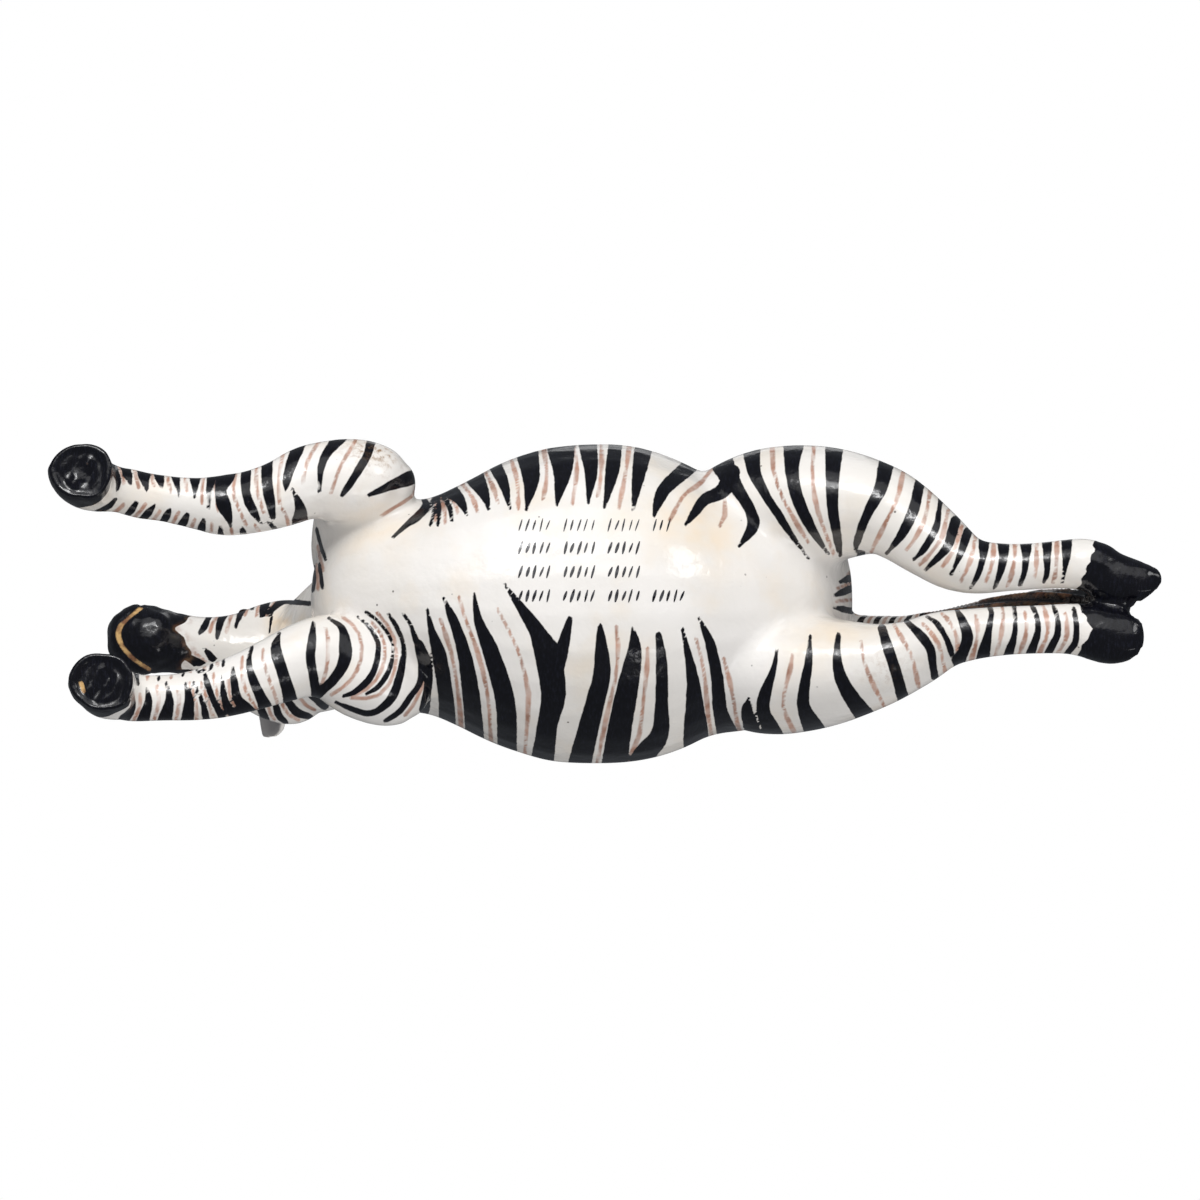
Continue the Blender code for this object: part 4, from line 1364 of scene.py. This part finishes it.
# Rows of short strokes on the belly that aren't letters
ink = Nodes("ink")
spot = ink.add("ShaderNodeTexCoord").outputs["Object"]
ink.feed("Base Color", ink.mix(ink.ramped_noise(spot, 700, 3, 0.35, 0.7), INK, FAINT_INK))
ink.shader.inputs["Roughness"].default_value = 0.2
ink.shader.inputs["Coat Weight"].default_value = 0.35

ROW_START = -26.5
ROW_ENDS = ((23, -26), (18, -18.4), (17, -10.4), (31, -2.4))  # right end and height in view
points, faces = [], []
for r, (end, v) in enumerate(ROW_ENDS):
    u, k = ROW_START, 0
    while u < end:
        tall = 1.9 + 0.3 * math.sin(k * 2.7 + 1.3 * r)
        lean = 0.55 + 0.12 * math.sin(k * 1.9 + r)
        half = (0.3 if r == 0 else 0.46) * (1 + 0.2 * math.sin(k * 1.3))
        base = len(points)
        for i in range(7):
            t = (i - 3) / 3
            width = half * (1 - 0.6 * t * t)
            for offset in (-width, width):
                points.append(on_skin(u - lean * t + offset, v + tall * t) - Vector(LOOK) * 0.07)
        corners = range(base, base + 12, 2)
        faces += [(i, i + 1, i + 3, i + 2) for i in corners]
        u += 2.3 + (3.4 if k % 5 == 4 else 0) + 0.2 * math.sin(k * 3.3 + r)
        k += 1
mesh = bpy.data.meshes.new("belly_marks")
mesh.from_pydata([tuple(p * MM) for p in points], [], faces)
mesh.materials.append(ink.material)
marks = bpy.data.objects.new("belly_marks", mesh)
bpy.context.scene.collection.objects.link(marks)
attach(marks, "root")
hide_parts("zebra")

# Floor, pale and plain: seen from above, and clear from below
floor_look = Nodes("pale_floor")
place = floor_look.add("ShaderNodeTexCoord").outputs["Object"]
cloudy = floor_look.ramped_noise(place, 3, 2, 0.3, 0.7)
floor_look.feed("Base Color", floor_look.mix(cloudy, (0.84, 0.84, 0.84, 1), (0.88, 0.88, 0.875, 1)))
floor_look.shader.inputs["Roughness"].default_value = 0.9
floor_look.shader.inputs["Emission Color"].default_value = (1, 1, 1, 1)
floor_look.shader.inputs["Emission Strength"].default_value = 0.28
back = floor_look.add("ShaderNodeNewGeometry").outputs["Backfacing"]
clear = floor_look.add("ShaderNodeBsdfTransparent").outputs[0]
both = floor_look.add("ShaderNodeMixShader", {0: back, 1: floor_look.shader.outputs[0], 2: clear})
floor_look.tree.links.new(both.outputs[0], floor_look.tree.nodes["Material Output"].inputs["Surface"])
mesh = bpy.data.meshes.new("floor")
mesh.from_pydata([(-3, -3, 0), (3, -3, 0), (3, 3, 0), (-3, 3, 0)], [], [(0, 1, 2, 3)])
mesh.materials.append(floor_look.material)
floor = bpy.data.objects.new("floor", mesh)
floor.location = (0, 0, -0.0002)
bpy.context.scene.collection.objects.link(floor)
floor.visible_shadow = False
floor.visible_glossy = False
floor.visible_diffuse = False

# Light
AIM = Vector((0, 0, 0.064))
world = bpy.data.worlds.new("studio")
bpy.context.scene.world = world
world.use_nodes = True
sky = world.node_tree.nodes["Background"]
sky.inputs["Color"].default_value = (1, 1, 1, 1)
sky.inputs["Strength"].default_value = 0.46
path = world.node_tree.nodes.new("ShaderNodeLightPath")
plain = world.node_tree.nodes.new("ShaderNodeBackground")
plain.inputs["Color"].default_value = (1, 1, 1, 1)
plain.inputs["Strength"].default_value = 1.0
dim = world.node_tree.nodes.new("ShaderNodeBackground")
dim.inputs["Color"].default_value = (0.86, 0.92, 1, 1)
dim.inputs["Strength"].default_value = 0.1


def chosen_by(kind, otherwise, then):
    """One world shader where a ray is of this kind, and another elsewhere."""
    mix = world.node_tree.nodes.new("ShaderNodeMixShader")
    for source, socket in zip((path.outputs[kind], otherwise, then), mix.inputs):
        world.node_tree.links.new(source, socket)
    return mix.outputs[0]


mirrored = chosen_by("Is Glossy Ray", sky.outputs[0], dim.outputs[0])
surface = chosen_by("Is Camera Ray", mirrored, plain.outputs[0])
world.node_tree.links.new(surface, world.node_tree.nodes["World Output"].inputs["Surface"])


def softbox(name, place, across, power, mirrored=True):
    """A square lamp that looks at the middle of the figure."""
    lamp = bpy.data.lights.new(name, "AREA")
    lamp.shape = "SQUARE"
    lamp.size = across
    lamp.energy = power
    ob = bpy.data.objects.new(name, lamp)
    ob.location = place
    ob.rotation_mode = "QUATERNION"
    ob.rotation_quaternion = (AIM - Vector(place)).to_track_quat("-Z", "Y")
    ob.visible_glossy = mirrored
    bpy.context.scene.collection.objects.link(ob)


softbox("key_below", (-0.2, -1.0, -1.1), 1.2, 8.5, False)
softbox("sheen_below", (-0.1, -0.9, -1.1), 1.4, 4.5)
softbox("rear_below", (0.75, -0.5, -0.8), 0.25, 0.8)
softbox("window_below", (-0.3, -0.8, -1.1), 0.42, 3.2)
softbox("fill_below", (0.7, 0.8, -1.2), 1.6, 6.0, False)
softbox("second_below", (0.5, 0.9, -0.9), 0.3, 0.7)
softbox("glint_below", (-0.15, -0.55, -0.95), 0.16, 1.1)
softbox("key_above", (-0.5, -0.9, 1.1), 1.0, 14, False)
softbox("fill_above", (0.8, 0.7, 0.9), 1.0, 7, False)
softbox("glint_above", (0.1, -0.8, 1.1), 0.4, 0.25)

# Camera at the photograph's angle
data = bpy.data.cameras.new("camera")
data.lens = 83.7
data.sensor_width = 36
data.clip_start, data.clip_end = 0.05, 20
data.shift_y = 0.0025
camera = bpy.data.objects.new("camera", data)
camera.rotation_mode = "QUATERNION"
camera.rotation_quaternion = Matrix(((1, 0, 0), tuple(-DOWN), tuple(-LOOK))).transposed().to_quaternion()
camera.location = EYE * MM
bpy.context.scene.collection.objects.link(camera)
bpy.context.scene.camera = camera
bpy.context.scene.view_settings.view_transform = "Standard"
